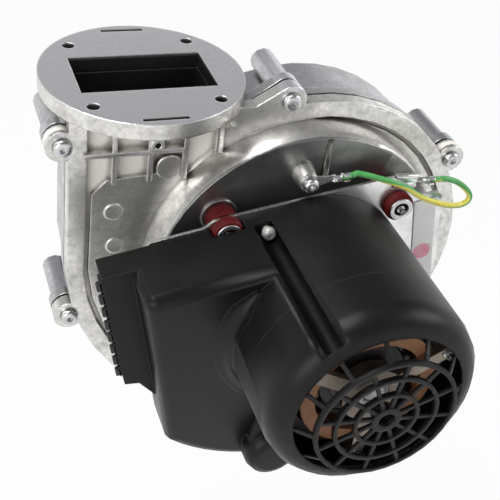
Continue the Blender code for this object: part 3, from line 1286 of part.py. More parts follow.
def make_earth_point():
    """The ring terminal on its boss, with its toothed washer and screw."""
    back = EARTH_FACE_Y - CLEARANCE
    front = back - EARTH_TAG_THICKNESS
    place = (EARTH_X, EARTH_Z)
    loops = [circle(*place, EARTH_TAG_RADIUS, 20), circle(*place, SCREW_HOLE_RADIUS, 10)]
    tag = prism("tag", loops, back, front)
    near, far = EARTH_TAG_RADIUS * 0.8, EARTH_TAG_REACH + CRIMP_RADIUS
    a = math.radians(EARTH_TAG_ANGLE)
    corners = []
    for reach, half in ((near, EARTH_TAG_RADIUS * 0.6), (far, CRIMP_RADIUS * 0.7),
                        (far, -CRIMP_RADIUS * 0.7), (near, -EARTH_TAG_RADIUS * 0.6)):
        corners.append((EARTH_X + reach * math.cos(a) - half * math.sin(a),
                        EARTH_Z + reach * math.sin(a) + half * math.cos(a)))
    join(tag, prism("neck", [corners], back, front))
    middle = (back + front) / 2 - CRIMP_RADIUS / 2
    crimp_start = earth_tag_point(EARTH_TAG_REACH, middle)
    crimp_end = earth_tag_point(EARTH_TAG_REACH + CRIMP_LENGTH, middle)
    join(tag, bar_between("crimp", crimp_start, crimp_end, CRIMP_RADIUS))
    finish(tag, "ring_terminal", *ZINC)
    washer_back = front - CLEARANCE
    washer_front = washer_back - EARTH_WASHER_THICKNESS
    profile = [(SCREW_HOLE_RADIUS, washer_back), (SCREW_HEAD_RADIUS, washer_back),
               (SCREW_HEAD_RADIUS, washer_front), (SCREW_HOLE_RADIUS, washer_front)]
    finish(lathe("washer", profile, place, 16), "earth_washer", *ZINC)
    item = screw(place, washer_front - CLEARANCE, EARTH_SCREW_LENGTH, SCREW_HEAD_RADIUS * 0.86)
    finish(item, "earth_screw", *ZINC)


def tab_block(near, far, across, back, front):
    """A block round the tab: from near to far along it, and grown across it on both sides."""
    corners = [tab_point(near, -across), tab_point(far, -across), tab_point(far, TAB_WIDTH + across),
               tab_point(near, TAB_WIDTH + across)]
    return prism("sleeve", [[tilted(u, v) for u, v in corners]], back, front)


def make_receptacle():
    """The push-on receptacle round the plate's tab, with its crimp."""
    wall, gap = RECEPTACLE_WALL, CLEARANCE
    back, front = PLATE_BACK_Y + gap, PLATE_Y - gap
    start, end = 2 * wall, TAB_LENGTH + gap
    sleeve = tab_block(start, end + 2 * wall, gap + wall, back + wall, front - wall)
    cut(sleeve, tab_block(start - OVERCUT, end, gap, back, front))
    middle_y = (back + front) / 2
    x, z = tilted(*tab_point(end + wall, TAB_WIDTH / 2))
    far_x, far_z = tilted(*tab_point(end + wall + CRIMP_LENGTH, TAB_WIDTH / 2))
    join(sleeve, bar_between("crimp", (x, middle_y, z), (far_x, middle_y, far_z), CRIMP_RADIUS))
    finish(sleeve, "spade_receptacle", *ZINC)
    return Vector((far_x, middle_y, far_z))


def smooth_route(points, steps):
    """Points along a Catmull-Rom curve through hand-chosen points."""
    ends = [2 * points[0] - points[1]] + points + [2 * points[-1] - points[-2]]
    route = []
    for before, start, end, after in zip(ends, ends[1:], ends[2:], ends[3:]):
        for i in range(steps):
            t = i / steps
            route.append(0.5 * (2 * start + (end - before) * t
                                + (2 * before - 5 * start + 4 * end - after) * t ** 2
                                + (3 * start - before - 3 * end + after) * t ** 3))
    return route + [points[-1]]


def make_earth_lead(far_end):
    """The lead from the ring terminal's crimp, in one loop round to the receptacle's crimp."""
    middle = EARTH_FACE_Y - CLEARANCE - EARTH_TAG_THICKNESS / 2 - CRIMP_RADIUS / 2
    near = Vector(earth_tag_point(EARTH_TAG_REACH + CRIMP_LENGTH + CLEARANCE, middle))
    turn = math.radians(MOTOR_TILT + TAB_ANGLE)
    run = Vector((math.cos(turn), 0, math.sin(turn)))
    end = far_end + run * CLEARANCE
    outward = near - Vector(earth_tag_point(EARTH_TAG_REACH, middle))
    outward.normalize()
    route = [near, near + outward * 0.001, near + outward * 0.004]
    route += [near + Vector(offset) for offset in EARTH_LEAD_LOOP]
    route += [end + run * 0.008, end + run * 0.004, end + run * 0.001, end]
    points = smooth_route(route, 3)
    curve = bpy.data.curves.new("earth_lead", "CURVE")
    curve.dimensions = "3D"
    curve.bevel_depth = EARTH_LEAD_RADIUS
    curve.bevel_resolution = 2
    curve.use_fill_caps = True
    spline = curve.splines.new("POLY")
    spline.points.add(len(points) - 1)
    for node, point in zip(spline.points, points):
        node.co = (*point, 1.0)
    lead = bpy.data.objects.new("earth_lead", curve)
    bpy.context.scene.collection.objects.link(lead)
    material = bpy.data.materials.new("earth_lead")
    material.use_nodes = True
    shader = material.node_tree.nodes["Principled BSDF"]
    shader.inputs["Base Color"].default_value = (0.10, 0.45, 0.12, 1.0)
    shader.inputs["Roughness"].default_value = 0.45
    curve.materials.append(material)


def make_label():
    """The blank rating label on the plate's free end."""
    back = PLATE_Y - CLEARANCE
    corners = [(LABEL_LEFT, LABEL_BOTTOM), (LABEL_RIGHT, LABEL_BOTTOM), (LABEL_RIGHT, LABEL_TOP),
               (LABEL_LEFT, LABEL_TOP)]
    label = prism("label", [[tilted(u, v) for u, v in corners]], back, back - LABEL_THICKNESS)
    finish(label, "rating_label", (0.85, 0.85, 0.83), 0.5)


make_hood()
make_hood_screws()
make_board()
make_board_pieces()
make_earth_point()
make_earth_lead(make_receptacle())
make_label()

rotor_axis = bpy.data.objects.new("rotor_axis", None)
rotor_axis.location = (SHAFT_X, 0, SHAFT_Z)
bpy.context.scene.collection.objects.link(rotor_axis)
for rotor_piece in ROTOR_PIECES:
    piece = bpy.data.objects[rotor_piece]
    piece.data.transform(Matrix.Translation((-SHAFT_X, 0, -SHAFT_Z)))
    piece.parent = rotor_axis
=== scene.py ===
import math

import bmesh
import bpy
from mathutils import Matrix, Vector


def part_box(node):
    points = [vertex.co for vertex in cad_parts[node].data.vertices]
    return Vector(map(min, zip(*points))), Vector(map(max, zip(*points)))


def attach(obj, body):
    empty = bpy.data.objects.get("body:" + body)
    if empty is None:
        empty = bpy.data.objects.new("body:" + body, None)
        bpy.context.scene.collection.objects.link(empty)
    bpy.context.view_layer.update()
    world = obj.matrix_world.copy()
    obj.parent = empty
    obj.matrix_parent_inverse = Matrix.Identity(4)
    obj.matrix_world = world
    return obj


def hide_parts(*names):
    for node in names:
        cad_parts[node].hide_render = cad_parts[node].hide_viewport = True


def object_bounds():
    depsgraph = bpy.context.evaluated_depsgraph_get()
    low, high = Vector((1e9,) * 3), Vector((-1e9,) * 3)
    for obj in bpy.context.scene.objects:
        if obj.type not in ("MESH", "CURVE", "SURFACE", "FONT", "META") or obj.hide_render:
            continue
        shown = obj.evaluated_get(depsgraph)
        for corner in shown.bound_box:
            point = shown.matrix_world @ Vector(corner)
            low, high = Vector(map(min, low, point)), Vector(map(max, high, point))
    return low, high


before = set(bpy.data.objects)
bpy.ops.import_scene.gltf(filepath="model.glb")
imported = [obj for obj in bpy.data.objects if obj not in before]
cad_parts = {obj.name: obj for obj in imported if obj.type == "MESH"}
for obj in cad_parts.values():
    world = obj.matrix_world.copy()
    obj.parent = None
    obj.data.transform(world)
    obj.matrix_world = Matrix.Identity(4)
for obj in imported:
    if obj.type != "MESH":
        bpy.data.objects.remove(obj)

cad_box = [[float(v) for v in corner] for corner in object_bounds()]


# ---------------------------------------------------------------- camera
# The fan is seen from above and to the left of its motor, looking down past the hood
# at the outlet flange, which points up.

CAMERA_PLACE = Vector((-0.1097, -0.3966, 0.2148))
CAMERA_AIM = Vector((0.325, 0.727, -0.604)).normalized()
CAMERA_UP = Vector((0.108, 0.606, 0.788))
CAMERA_LENS = 70.27

right = CAMERA_AIM.cross(CAMERA_UP).normalized()
up = right.cross(CAMERA_AIM)
camera = bpy.data.objects.new("camera", bpy.data.cameras.new("camera"))
camera.data.lens = CAMERA_LENS
camera.data.sensor_width = 36.0
camera.data.clip_start = 0.01
camera.matrix_world = (Matrix.Translation(CAMERA_PLACE)
                       @ Matrix((right, up, -CAMERA_AIM)).transposed().to_4x4())
bpy.context.scene.collection.objects.link(camera)
bpy.context.scene.camera = camera


# ---------------------------------------------------------------- earth lead
# A green and yellow stranded earth lead, 3 mm over its PVC, in one open loop from the
# ring terminal on the casing to the push-on receptacle on the motor plate.

SHAFT = Vector((0.078, 0.0, -0.096))
MOTOR_TILT = math.radians(11.0)
EARTH_PLACE = Vector((0.0715, -0.0476, -0.0375))
EARTH_TURN = math.radians(8.0)
TAB_TURN = math.radians(-15.0)
TAB_ROOT = (0.048, 0.0502)
TAB_WIDTH = 0.0048
LEAD_RADIUS = 0.0015
LEAD_SIDES = 20
LEAD_LOOP = ((0.013, -0.0035, -0.0008), (0.027, -0.006, -0.0055), (0.038, -0.0065, -0.0125),
             (0.051, -0.006, -0.0185), (0.062, -0.004, -0.0220), (0.0685, -0.0025, -0.0215),
             (0.0700, -0.0015, -0.0185), (0.067, -0.0006, -0.0145), (0.061, 0.0, -0.0102))
LEAD_START_REACH, LEAD_START_RISE = 0.0213, 0.00175
LEAD_END_REACH, LEAD_END_Y = 0.0234, -0.0494
LEAD_GREENS = (0.055, 0.30, 0.075, 1), (0.10, 0.40, 0.12, 1)
LEAD_YELLOWS = (0.72, 0.62, 0.06, 1), (0.80, 0.74, 0.16, 1)
STRIPE_TURNS_PER_METRE = 9.0
STRIPE_START = 0.12
STRIPE_EDGE = (0.205, 0.185)


def tilted(u, y, v):
    """A point of the motor's frame, which is turned 11 degrees about the shaft."""
    c, s = math.cos(MOTOR_TILT), math.sin(MOTOR_TILT)
    return SHAFT + Vector((u * c - v * s, y, u * s + v * c))


def tab_place(along, across, y):
    """A point of the earth tab, from its upper root along it and down across it."""
    c, s = math.cos(TAB_TURN), math.sin(TAB_TURN)
    return tilted(TAB_ROOT[0] + along * c + across * s, y, TAB_ROOT[1] + along * s - across * c)


def smooth_route(points, steps):
    """Points along a smooth curve through the route's own points."""
    ends = [2 * points[0] - points[1]] + points + [2 * points[-1] - points[-2]]
    route = []
    for before, start, end, after in zip(ends, ends[1:], ends[2:], ends[3:]):
        for i in range(steps):
            t = i / steps
            route.append(0.5 * (2 * start + (end - before) * t
                                + (2 * before - 5 * start + 4 * end - after) * t ** 2
                                + (3 * start - before - 3 * end + after) * t ** 3))
    return route + [points[-1]]


def new_piece(name, mesh_tree, crease=30.0):
    """An object at the origin from a bmesh, smooth but for edges sharper than the crease."""
    mesh = bpy.data.meshes.new(name)
    mesh_tree.to_mesh(mesh)
    mesh_tree.free()
    mesh.shade_smooth()
    mesh.set_sharp_from_angle(angle=math.radians(crease))
    piece = bpy.data.objects.new(name, mesh)
    bpy.context.scene.collection.objects.link(piece)
    return piece


def make_tube(name, points, radius, sides):
    """A closed tube along the points, with a map that runs round and along it, and its length."""
    tree = bmesh.new()
    wrap = tree.loops.layers.uv.new("wrap")
    way = (points[1] - points[0]).normalized()
    side = way.cross(Vector((0, 0, 1))).normalized()
    rings, run = [], [0.0]
    for i, point in enumerate(points):
        ahead = points[min(i + 1, len(points) - 1)] - points[max(i - 1, 0)]
        ahead.normalize()
        side = (side - ahead * side.dot(ahead)).normalized()
        other = ahead.cross(side)
        if i:
            run.append(run[-1] + (point - points[i - 1]).length)
        ring = []
        for k in range(sides):
            a = 2 * math.pi * k / sides
            ring.append(tree.verts.new(point + (side * math.cos(a) + other * math.sin(a)) * radius))
        rings.append(ring)
    for i in range(len(rings) - 1):
        for k in range(sides):
            after = (k + 1) % sides
            face = tree.faces.new((rings[i][k], rings[i][after], rings[i + 1][after], rings[i + 1][k]))
            corners = ((k, i), (k + 1, i), (k + 1, i + 1), (k, i + 1))
            for loop, (turn, along) in zip(face.loops, corners):
                loop[wrap].uv = (turn / sides, run[along])
    tree.faces.new(rings[0])
    tree.faces.new(list(reversed(rings[-1])))
    bmesh.ops.recalc_face_normals(tree, faces=tree.faces)
    return new_piece(name, tree, crease=50.0), run[-1]


def put(tree, kind, values=(), **settings):
    """A node with its settings, and with its inputs linked or set."""
    item = tree.nodes.new(kind)
    for key, value in settings.items():
        setattr(item, key, value)
    for key, value in dict(values).items():
        if isinstance(value, bpy.types.NodeSocket):
            tree.links.new(value, item.inputs[key])
        else:
            item.inputs[key].default_value = value
    return item


def reckon(tree, operation, *values):
    """The result of a Math node on the values."""
    return put(tree, "ShaderNodeMath", list(enumerate(values)), operation=operation).outputs[0]


def between(tree, share, low, high):
    """A colour between two others."""
    return put(tree, "ShaderNodeMix", {0: share, 6: low, 7: high}, data_type="RGBA").outputs[2]


def spread(tree, value, low, high, to_low=0.0, to_high=1.0):
    """A value mapped from one range to another and held inside it."""
    limits = {0: value, 1: low, 2: high, 3: to_low, 4: to_high}
    return put(tree, "ShaderNodeMapRange", limits).outputs[0]


def start_group(name, inputs, outputs):
    """A shader node group with named sockets, and its input and output nodes."""
    tree = bpy.data.node_groups.new(name, "ShaderNodeTree")
    for label, kind, value in inputs:
        socket = tree.interface.new_socket(label, in_out="INPUT", socket_type=kind)
        if value is not None:
            socket.default_value = value
    for label, kind in outputs:
        tree.interface.new_socket(label, in_out="OUTPUT", socket_type=kind)
    return tree, tree.nodes.new("NodeGroupInput"), tree.nodes.new("NodeGroupOutput")


def use_group(tree, group, values):
    """A group placed in a material with its own values."""
    return put(tree, "ShaderNodeGroup", values, node_tree=group)


def start_material(name, roughness, metallic=0.0):
    """A material, its node tree, its Principled BSDF and its Object coordinates."""
    material = bpy.data.materials.new(name)
    material.use_nodes = True
    tree = material.node_tree
    shader = tree.nodes["Principled BSDF"]
    shader.inputs["Roughness"].default_value = roughness
    shader.inputs["Metallic"].default_value = metallic
    return material, tree, shader, tree.nodes.new("ShaderNodeTexCoord").outputs["Object"]


FLOAT, COLOUR, VECTOR = "NodeSocketFloat", "NodeSocketColor", "NodeSocketVector"


def make_grain_group():
    """Fine surface grain: a height for Bump, and a wide uneven mask for dirt and handling."""
    tree, given, result = start_group("surface_grain", (("Vector", VECTOR, None),
                                                        ("Grain scale", FLOAT, 1500.0),
                                                        ("Patch scale", FLOAT, 40.0)),
                                      (("Height", FLOAT), ("Patches", FLOAT)))
    fine = put(tree, "ShaderNodeTexNoise", {"Vector": given.outputs["Vector"],
                                            "Scale": given.outputs["Grain scale"], "Detail": 3.0,
                                            "Roughness": 0.6})
    wide = put(tree, "ShaderNodeTexNoise", {"Vector": given.outputs["Vector"],
                                            "Scale": given.outputs["Patch scale"], "Detail": 5.0,
                                            "Roughness": 0.65})
    tree.links.new(fine.outputs[0], result.inputs["Height"])
    tree.links.new(spread(tree, wide.outputs[0], 0.35, 0.65), result.inputs["Patches"])
    return tree


GRAIN = make_grain_group()


def finish_bump(tree, shader, height, normal=None, *, strength, distance):
    """Bump from a height on the shader's normal, over a rounded normal if one is given."""
    values = {"Height": height, "Strength": strength, "Distance": distance}
    if normal is not None:
        values["Normal"] = normal
    tree.links.new(put(tree, "ShaderNodeBump", values).outputs[0], shader.inputs["Normal"])


def settle(piece, material, body, slot, *nodes):
    """Finish a piece: its material, the body it rides on and the nodes it stands for. The slot is not
    used.
    """
    piece.data.materials.clear()
    piece.data.materials.append(material)
    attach(piece, body)
    if nodes:
        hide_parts(*nodes)
    return piece


def make_lead_finish():
    """Green PVC with one yellow stripe that winds slowly round it."""
    material, tree, shader, place = start_material("lead_insulation", 0.36)
    wrap = put(tree, "ShaderNodeUVMap", uv_map="wrap")
    parts = put(tree, "ShaderNodeSeparateXYZ", {0: wrap.outputs[0]})
    turn = reckon(tree, "ADD", parts.outputs[0],
                  reckon(tree, "MULTIPLY", parts.outputs[1], STRIPE_TURNS_PER_METRE))
    turn = reckon(tree, "FRACT", reckon(tree, "ADD", turn, STRIPE_START))
    off = reckon(tree, "ABSOLUTE", reckon(tree, "SUBTRACT", turn, 0.5))
    stripe = spread(tree, off, *STRIPE_EDGE)
    grain = use_group(tree, GRAIN, {"Vector": place, "Grain scale": 2200.0, "Patch scale": 220.0})
    green = between(tree, grain.outputs["Patches"], *LEAD_GREENS)
    yellow = between(tree, grain.outputs["Patches"], *LEAD_YELLOWS)
    tree.links.new(between(tree, stripe, green, yellow), shader.inputs["Base Color"])
    finish_bump(tree, shader, grain.outputs["Height"], strength=0.25, distance=0.0001)
    return material


outward = Vector((math.cos(EARTH_TURN), 0, math.sin(EARTH_TURN)))
lead_start = EARTH_PLACE + outward * LEAD_START_REACH + Vector((0, -LEAD_START_RISE, 0))
tab_run = Vector((math.cos(MOTOR_TILT + TAB_TURN), 0, math.sin(MOTOR_TILT + TAB_TURN)))
lead_end = tab_place(LEAD_END_REACH, TAB_WIDTH / 2, LEAD_END_Y) + tab_run * 0.0003
route = [lead_start, lead_start + outward * 0.001, lead_start + outward * 0.004]
route += [lead_start + Vector(offset) for offset in LEAD_LOOP]
route += [lead_end + tab_run * 0.008, lead_end + tab_run * 0.004, lead_end + tab_run * 0.001, lead_end]
lead_line = smooth_route(route, 8)
lead, lead_length = make_tube("earth_lead_insulation", lead_line, LEAD_RADIUS, LEAD_SIDES)
lead_finish = make_lead_finish()
settle(lead, lead_finish, "fan_housing", "lead_insulation", "earth_lead")


# ---------------------------------------------------------------- lead terminals
# Tin-plated pressed steel: a ring terminal under the earth screw and a push-on receptacle
# on the plate's tab, each with a conductor crimp and a wider insulation crimp.

TERMINAL_THICKNESS = 0.0006
CRIMP_RADIUS = 0.0021
EYE_PROFILE = ((0.0023, 0.0008), (0.0045, 0.0008), (0.0047, 0.0006), (0.0047, 0.0002), (0.0045, 0.0),
               (0.0025, 0.0), (0.0023, 0.0002))
TONGUE_WIDTHS = ((0.0036, 0.0060), (0.0055, 0.0052), (0.0080, 0.0036), (0.0118, 0.0030))
SHANK_WIDTHS = ((0.0, 0.0050), (0.0014, 0.0028), (0.0022, 0.0026))
RECEPTACLE_Y = -0.0485
TO_FRONT = Vector((0, -1, 0))


def press_strip(name, stations, thickness):
    """A bent strip: each station is a place, its side and face directions, and a line across."""
    tree = bmesh.new()
    rings = []
    for place, side, face, line in stations:
        outer, inner = [], []
        for i, (a, b) in enumerate(line):
            before, after = line[max(i - 1, 0)], line[min(i + 1, len(line) - 1)]
            run = Vector((after[0] - before[0], after[1] - before[1])).normalized()
            across = Vector((-run.y, run.x)) * thickness / 2
            outer.append(tree.verts.new(place + side * (a + across.x) + face * (b + across.y)))
            inner.append(tree.verts.new(place + side * (a - across.x) + face * (b - across.y)))
        rings.append(outer + inner[::-1])
    for ring, following in zip(rings, rings[1:]):
        for i in range(len(ring)):
            k = (i + 1) % len(ring)
            tree.faces.new((ring[i], ring[k], following[k], following[i]))
    count = len(rings[0])
    for ring in (rings[0], rings[-1]):
        for i in range(count // 2 - 1):
            tree.faces.new((ring[i], ring[i + 1], ring[count - 2 - i], ring[count - 1 - i]))
    bmesh.ops.recalc_face_normals(tree, faces=tree.faces)
    return new_piece(name, tree, crease=40.0)


def curl(width, radius, turn, count=24):
    """A line across the strip: a flat of that width whose two sides roll up through a turn."""
    line = []
    half = width / 2
    for i in range(count + 1):
        a = turn * (1 - i / count)
        line.append((-half - radius * math.sin(a), radius * (1 - math.cos(a))))
    for i in range(count + 1):
        a = turn * i / count
        line.append((half + radius * math.sin(a), radius * (1 - math.cos(a))))
    return line


def flat_line(width):
    """A line across the strip that is flat from side to side."""
    return curl(width, 0.0002, 0.02)


def join_pieces(name, parts):
    """One piece from several."""
    tree = bmesh.new()
    for part in parts:
        tree.from_mesh(part.data)
        bpy.data.objects.remove(part)
    return new_piece(name, tree, crease=40.0)


def make_disc(name, centre, profile, sides):
    """A turned solid round a line along Y through the centre: (radius, y) points, closed."""
    tree = bmesh.new()
    rings = []
    for i in range(sides):
        a = 2 * math.pi * i / sides
        rings.append([tree.verts.new((centre[0] + r * math.cos(a), y, centre[1] + r * math.sin(a)))
                      for r, y in profile])
    for i, ring in enumerate(rings):
        after = rings[(i + 1) % sides]
        for k in range(len(profile)):
            j = (k + 1) % len(profile)
            tree.faces.new((ring[k], ring[j], after[j], after[k]))
    bmesh.ops.remove_doubles(tree, verts=tree.verts, dist=1e-7)
    bmesh.ops.dissolve_degenerate(tree, edges=tree.edges, dist=1e-8)
    bmesh.ops.recalc_face_normals(tree, faces=tree.faces)
    return new_piece(name, tree)


def make_edge_group():
    """Corners: a mask that is high on edges that stand out or fold in, and the rounded normal."""
    tree, given, result = start_group("edge_round", (("Radius", FLOAT, 0.0005),),
                                      (("Mask", FLOAT), ("Normal", VECTOR)))
    soft = put(tree, "ShaderNodeBevel", {"Radius": given.outputs["Radius"]}, samples=6)
    sharp = tree.nodes.new("ShaderNodeNewGeometry")
    dot = put(tree, "ShaderNodeVectorMath", {0: soft.outputs[0], 1: sharp.outputs["Normal"]},
              operation="DOT_PRODUCT")
    tree.links.new(spread(tree, dot.outputs["Value"], 0.99, 0.80), result.inputs["Mask"])
    tree.links.new(soft.outputs[0], result.inputs["Normal"])
    return tree


EDGE = make_edge_group()


def make_metal_finish(name, tint, roughness, patch, grain=1800.0):
    """A clean metal, plated or turned, with faint cloudy patches and brighter edges."""
    material, tree, shader, place = start_material(name, roughness, 1.0)
    skin = use_group(tree, GRAIN, {"Vector": place, "Grain scale": grain, "Patch scale": patch})
    edge = use_group(tree, EDGE, {"Radius": 0.00025})
    dull = tuple(0.72 * v for v in tint) + (1,)
    colour = between(tree, skin.outputs["Patches"], dull, (*tint, 1))
    colour = between(tree, reckon(tree, "MULTIPLY", edge.outputs["Mask"], 0.5), colour,
                     tuple(min(1.0, 1.15 * v) for v in tint) + (1,))
    tree.links.new(colour, shader.inputs["Base Color"])
    tree.links.new(spread(tree, skin.outputs["Patches"], 0, 1, roughness + 0.10, roughness - 0.04),
                   shader.inputs["Roughness"])
    finish_bump(tree, shader, skin.outputs["Height"], edge.outputs["Normal"], strength=0.12,
                distance=0.00012)
    return material


TIN = make_metal_finish("tin_plate", (0.80, 0.80, 0.79), roughness=0.30, patch=160.0)


def make_crimps(name, start, run, side):
    """A flat neck, the conductor crimp and the insulation crimp, from start along run."""
    neck = curl(0.0012, CRIMP_RADIUS * 0.8, 1.2)
    tight = curl(0.0002, CRIMP_RADIUS * 0.62, 2.9)
    open_wide = curl(0.0002, LEAD_RADIUS + 0.0003, 2.55)
    plan = ((0.0, flat_line(0.0030)), (0.0012, neck), (0.0018, tight), (0.0042, tight),
            (0.0048, neck), (0.0056, open_wide), (0.0082, open_wide))
    stations = [(start + run * along, side, TO_FRONT, line) for along, line in plan]
    return press_strip(name, stations, TERMINAL_THICKNESS)


def make_ring_terminal():
    """An eye under the screw's head, a tongue that narrows, and the crimps."""
    front = EARTH_PLACE.y - 0.0011
    side = Vector((-math.sin(EARTH_TURN), 0, math.cos(EARTH_TURN)))
    eye = make_disc("eye", (EARTH_PLACE.x, EARTH_PLACE.z),
                    [(radius, front + y) for radius, y in EYE_PROFILE], sides=48)
    root = EARTH_PLACE + Vector((0, front + 0.0004 - EARTH_PLACE.y, 0))
    tongue = press_strip("tongue", [(root + outward * along, side, TO_FRONT, flat_line(width))
                                    for along, width in TONGUE_WIDTHS], 0.0008)
    barrel = make_crimps("barrel", root + outward * 0.0115, outward, side)
    return join_pieces("ring_terminal_pressing", (eye, tongue, barrel))


def make_receptacle():
    """A flat sleeve with rolled sides that grips the tab, a shank and the crimps."""
    side = Vector((-math.sin(MOTOR_TILT + TAB_TURN), 0, math.cos(MOTOR_TILT + TAB_TURN)))
    rolled = curl(TAB_WIDTH + 0.0002, 0.00125, 3.9)
    narrow = curl(TAB_WIDTH + 0.0002, 0.00115, 3.6)
    plan = ((0.0012, narrow), (0.0018, rolled), (0.0132, rolled), (0.0138, narrow))
    stations = [(tab_place(along, TAB_WIDTH / 2, RECEPTACLE_Y), side, TO_FRONT, line)
                for along, line in plan]
    sleeve = press_strip("sleeve", stations, TERMINAL_THICKNESS)
    start = tab_place(0.0134, TAB_WIDTH / 2, RECEPTACLE_Y)
    shank = press_strip("shank", [(start + tab_run * along, side, TO_FRONT, flat_line(width))
                                  for along, width in SHANK_WIDTHS], TERMINAL_THICKNESS)
    crimps = make_crimps("crimp", start + tab_run * 0.0018, tab_run, side)
    return join_pieces("receptacle_pressing", (sleeve, shank, crimps))


ring_piece = settle(make_ring_terminal(), TIN, "fan_housing", "tinned_steel", "ring_terminal")
receptacle = settle(make_receptacle(), TIN, "fan_housing", "tinned_steel", "spade_receptacle")

strand_finish = make_metal_finish("tinned_copper", (0.78, 0.66, 0.52), roughness=0.35, patch=300.0,
                                  grain=4000.0)
for name, start, way, length in (("ring_strands", lead_start, -outward, 0.0070),
                                 ("receptacle_strands", lead_end, tab_run, 0.0072)):
    bare, _ = make_tube(name + "_bare", [start + way * length, start + way * 0.0035],
                        radius=0.0009, sides=14)
    cover, _ = make_tube(name + "_cover", [start + way * 0.0048, start + way * 0.0002],
                         LEAD_RADIUS, LEAD_SIDES)
    settle(bare, strand_finish, "fan_housing", "tinned_steel")
    settle(cover, lead_finish, "fan_housing", "lead_insulation")


# ---------------------------------------------------------------- casings
# Two pressure die-castings of the scroll, bolted together over a gasket. Left as cast:
# a matte grey skin with flow marks and blotches, brighter where corners have been rubbed.

CAST_LIGHT = (0.90, 0.885, 0.85)
CAST_DARK = (0.47, 0.463, 0.450)
CAST_WORN = (0.86, 0.85, 0.83)
CAST_CELL = (0.90, 0.87, 0.80)
# Painted shade in corners, pockets and under the flange, from ambient occlusion.
CAST_CORNER_SHADE = (0.14, 0.13, 0.115)
# Painted dark reflection of the black hood on the dome's flat top.
CAST_DOME_TOP_REFLECTION = (0.17, 0.17, 0.17)
CAST_FACED = (0.86, 0.88, 0.94)
CAST_SPECK = (0.16, 0.155, 0.15)
# Painted shade, nearly black, inside the outlet port and the flange's holes.
CAST_PORT_SHADE = (0.055, 0.058, 0.060)
CAST_METALLIC = 0.94
CAST_ROUND = 0.0009
HOLE_OFFSET = 0.02925
PORT_HALF = (0.032, 0.017)
# Each pair is where a tone is still absent, then where it is full, in metres but for the port's
# and the painted corner shade's, which are shares.
PORT_RIM = (1.06, 1.02)
HOLE_RIM = (0.0036, 0.0034)
HOLE_FOOT = (-0.0120, -0.0110)
PORT_SHADE_TOP = (-0.0006, -0.0020)
FACED_TOP = (-0.0006, -0.0002)
FLANGE_UNDERSIDE = (-0.0122, -0.0126)
CELL_FRONT, CELL_BACK, CELL_FOOT = (-0.0234, -0.0230), (-0.0190, -0.0205), (-0.064, -0.060)
DOME_TOP_FRONT, DOME_TOP_BACK = (-0.0400, -0.0392), (-0.0374, -0.0380)
CORNER_SHADE_LIMITS = (0.80, 0.40)


def bake(piece):
    """Keep what the piece's modifiers make as its plain mesh."""
    evaluated = piece.evaluated_get(bpy.context.evaluated_depsgraph_get())
    made = bpy.data.meshes.new_from_object(evaluated)
    piece.modifiers.clear()
    piece.data = made
    return piece


def smooth_copy(name, nodes, crease=30.0, added=(), reshape=None):
    """A piece with the shape of the given nodes, its flats whole and its curves smooth, and
    with other pieces moulded or cast onto it."""
    tree = bmesh.new()
    for label in nodes:
        tree.from_mesh(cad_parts[label].data)
    bmesh.ops.remove_doubles(tree, verts=tree.verts, dist=1e-6)
    bmesh.ops.dissolve_limit(tree, angle_limit=math.radians(0.4), verts=tree.verts, edges=tree.edges)
    for part in added:
        tree.from_mesh(part.data)
        bpy.data.objects.remove(part)
    piece = new_piece(name, tree, crease)
    if reshape:
        reshape(piece)
        piece.data.shade_smooth()
        piece.data.set_sharp_from_angle(angle=math.radians(crease))
    weigh = piece.modifiers.new("flat_faces_first", "WEIGHTED_NORMAL")
    weigh.keep_sharp = True
    weigh.mode = "FACE_AREA"
    weigh.weight = 90
    return bake(piece)


def dress(name, node, material, body, slot, **shape):
    """A smooth copy of one node, finished and standing for it."""
    return settle(smooth_copy(name, [node], **shape), material, body, slot, node)


def make_cast_group():
    """The skin of a die-casting: cloudy patches, fine mottling, specks and a sandy grain."""
    tree, given, result = start_group("cast_skin", (("Vector", VECTOR, None), ("Light", COLOUR, None),
                                                    ("Dark", COLOUR, None)),
                                      (("Color", COLOUR), ("Roughness", FLOAT), ("Height", FLOAT)))
    place = given.outputs["Vector"]
    cloud = put(tree, "ShaderNodeTexNoise", {"Vector": place, "Scale": 75.0, "Detail": 4.0,
                                             "Roughness": 0.55, "Distortion": 0.6})
    mottle = put(tree, "ShaderNodeTexNoise", {"Vector": place, "Scale": 300.0, "Detail": 5.0,
                                              "Roughness": 0.72, "Distortion": 0.5})
    grain = put(tree, "ShaderNodeTexNoise", {"Vector": place, "Scale": 1100.0, "Detail": 3.0,
                                             "Roughness": 0.7})
    specks = put(tree, "ShaderNodeTexVoronoi", {"Vector": place, "Scale": 330.0, "Randomness": 1.0})
    speck = spread(tree, specks.outputs["Distance"], 0.14, 0.05)
    tone = reckon(tree, "MULTIPLY_ADD", mottle.outputs[0], 0.62,
                  reckon(tree, "MULTIPLY", cloud.outputs[0], 0.38))
    tone = spread(tree, tone, 0.34, 0.64)
    colour = between(tree, tone, given.outputs["Dark"], given.outputs["Light"])
    colour = between(tree, reckon(tree, "MULTIPLY", speck, 0.30), colour, (*CAST_SPECK, 1))
    tree.links.new(colour, result.inputs["Color"])
    tree.links.new(spread(tree, tone, 0, 1, 0.40, 0.26), result.inputs["Roughness"])
    height = reckon(tree, "MULTIPLY_ADD", grain.outputs[0], 0.5,
                    reckon(tree, "MULTIPLY", mottle.outputs[0], 0.7))
    tree.links.new(reckon(tree, "SUBTRACT", height, reckon(tree, "MULTIPLY", speck, 0.25)),
                   result.inputs["Height"])
    return tree


CAST = make_cast_group()


def mask_of(tree, *shares):
    """A mask that is full where every share is, each a value and its two limits."""
    value, limits = shares[0]
    mask = spread(tree, value, *limits)
    for value, limits in shares[1:]:
        mask = reckon(tree, "MULTIPLY", mask, spread(tree, value, *limits))
    return mask


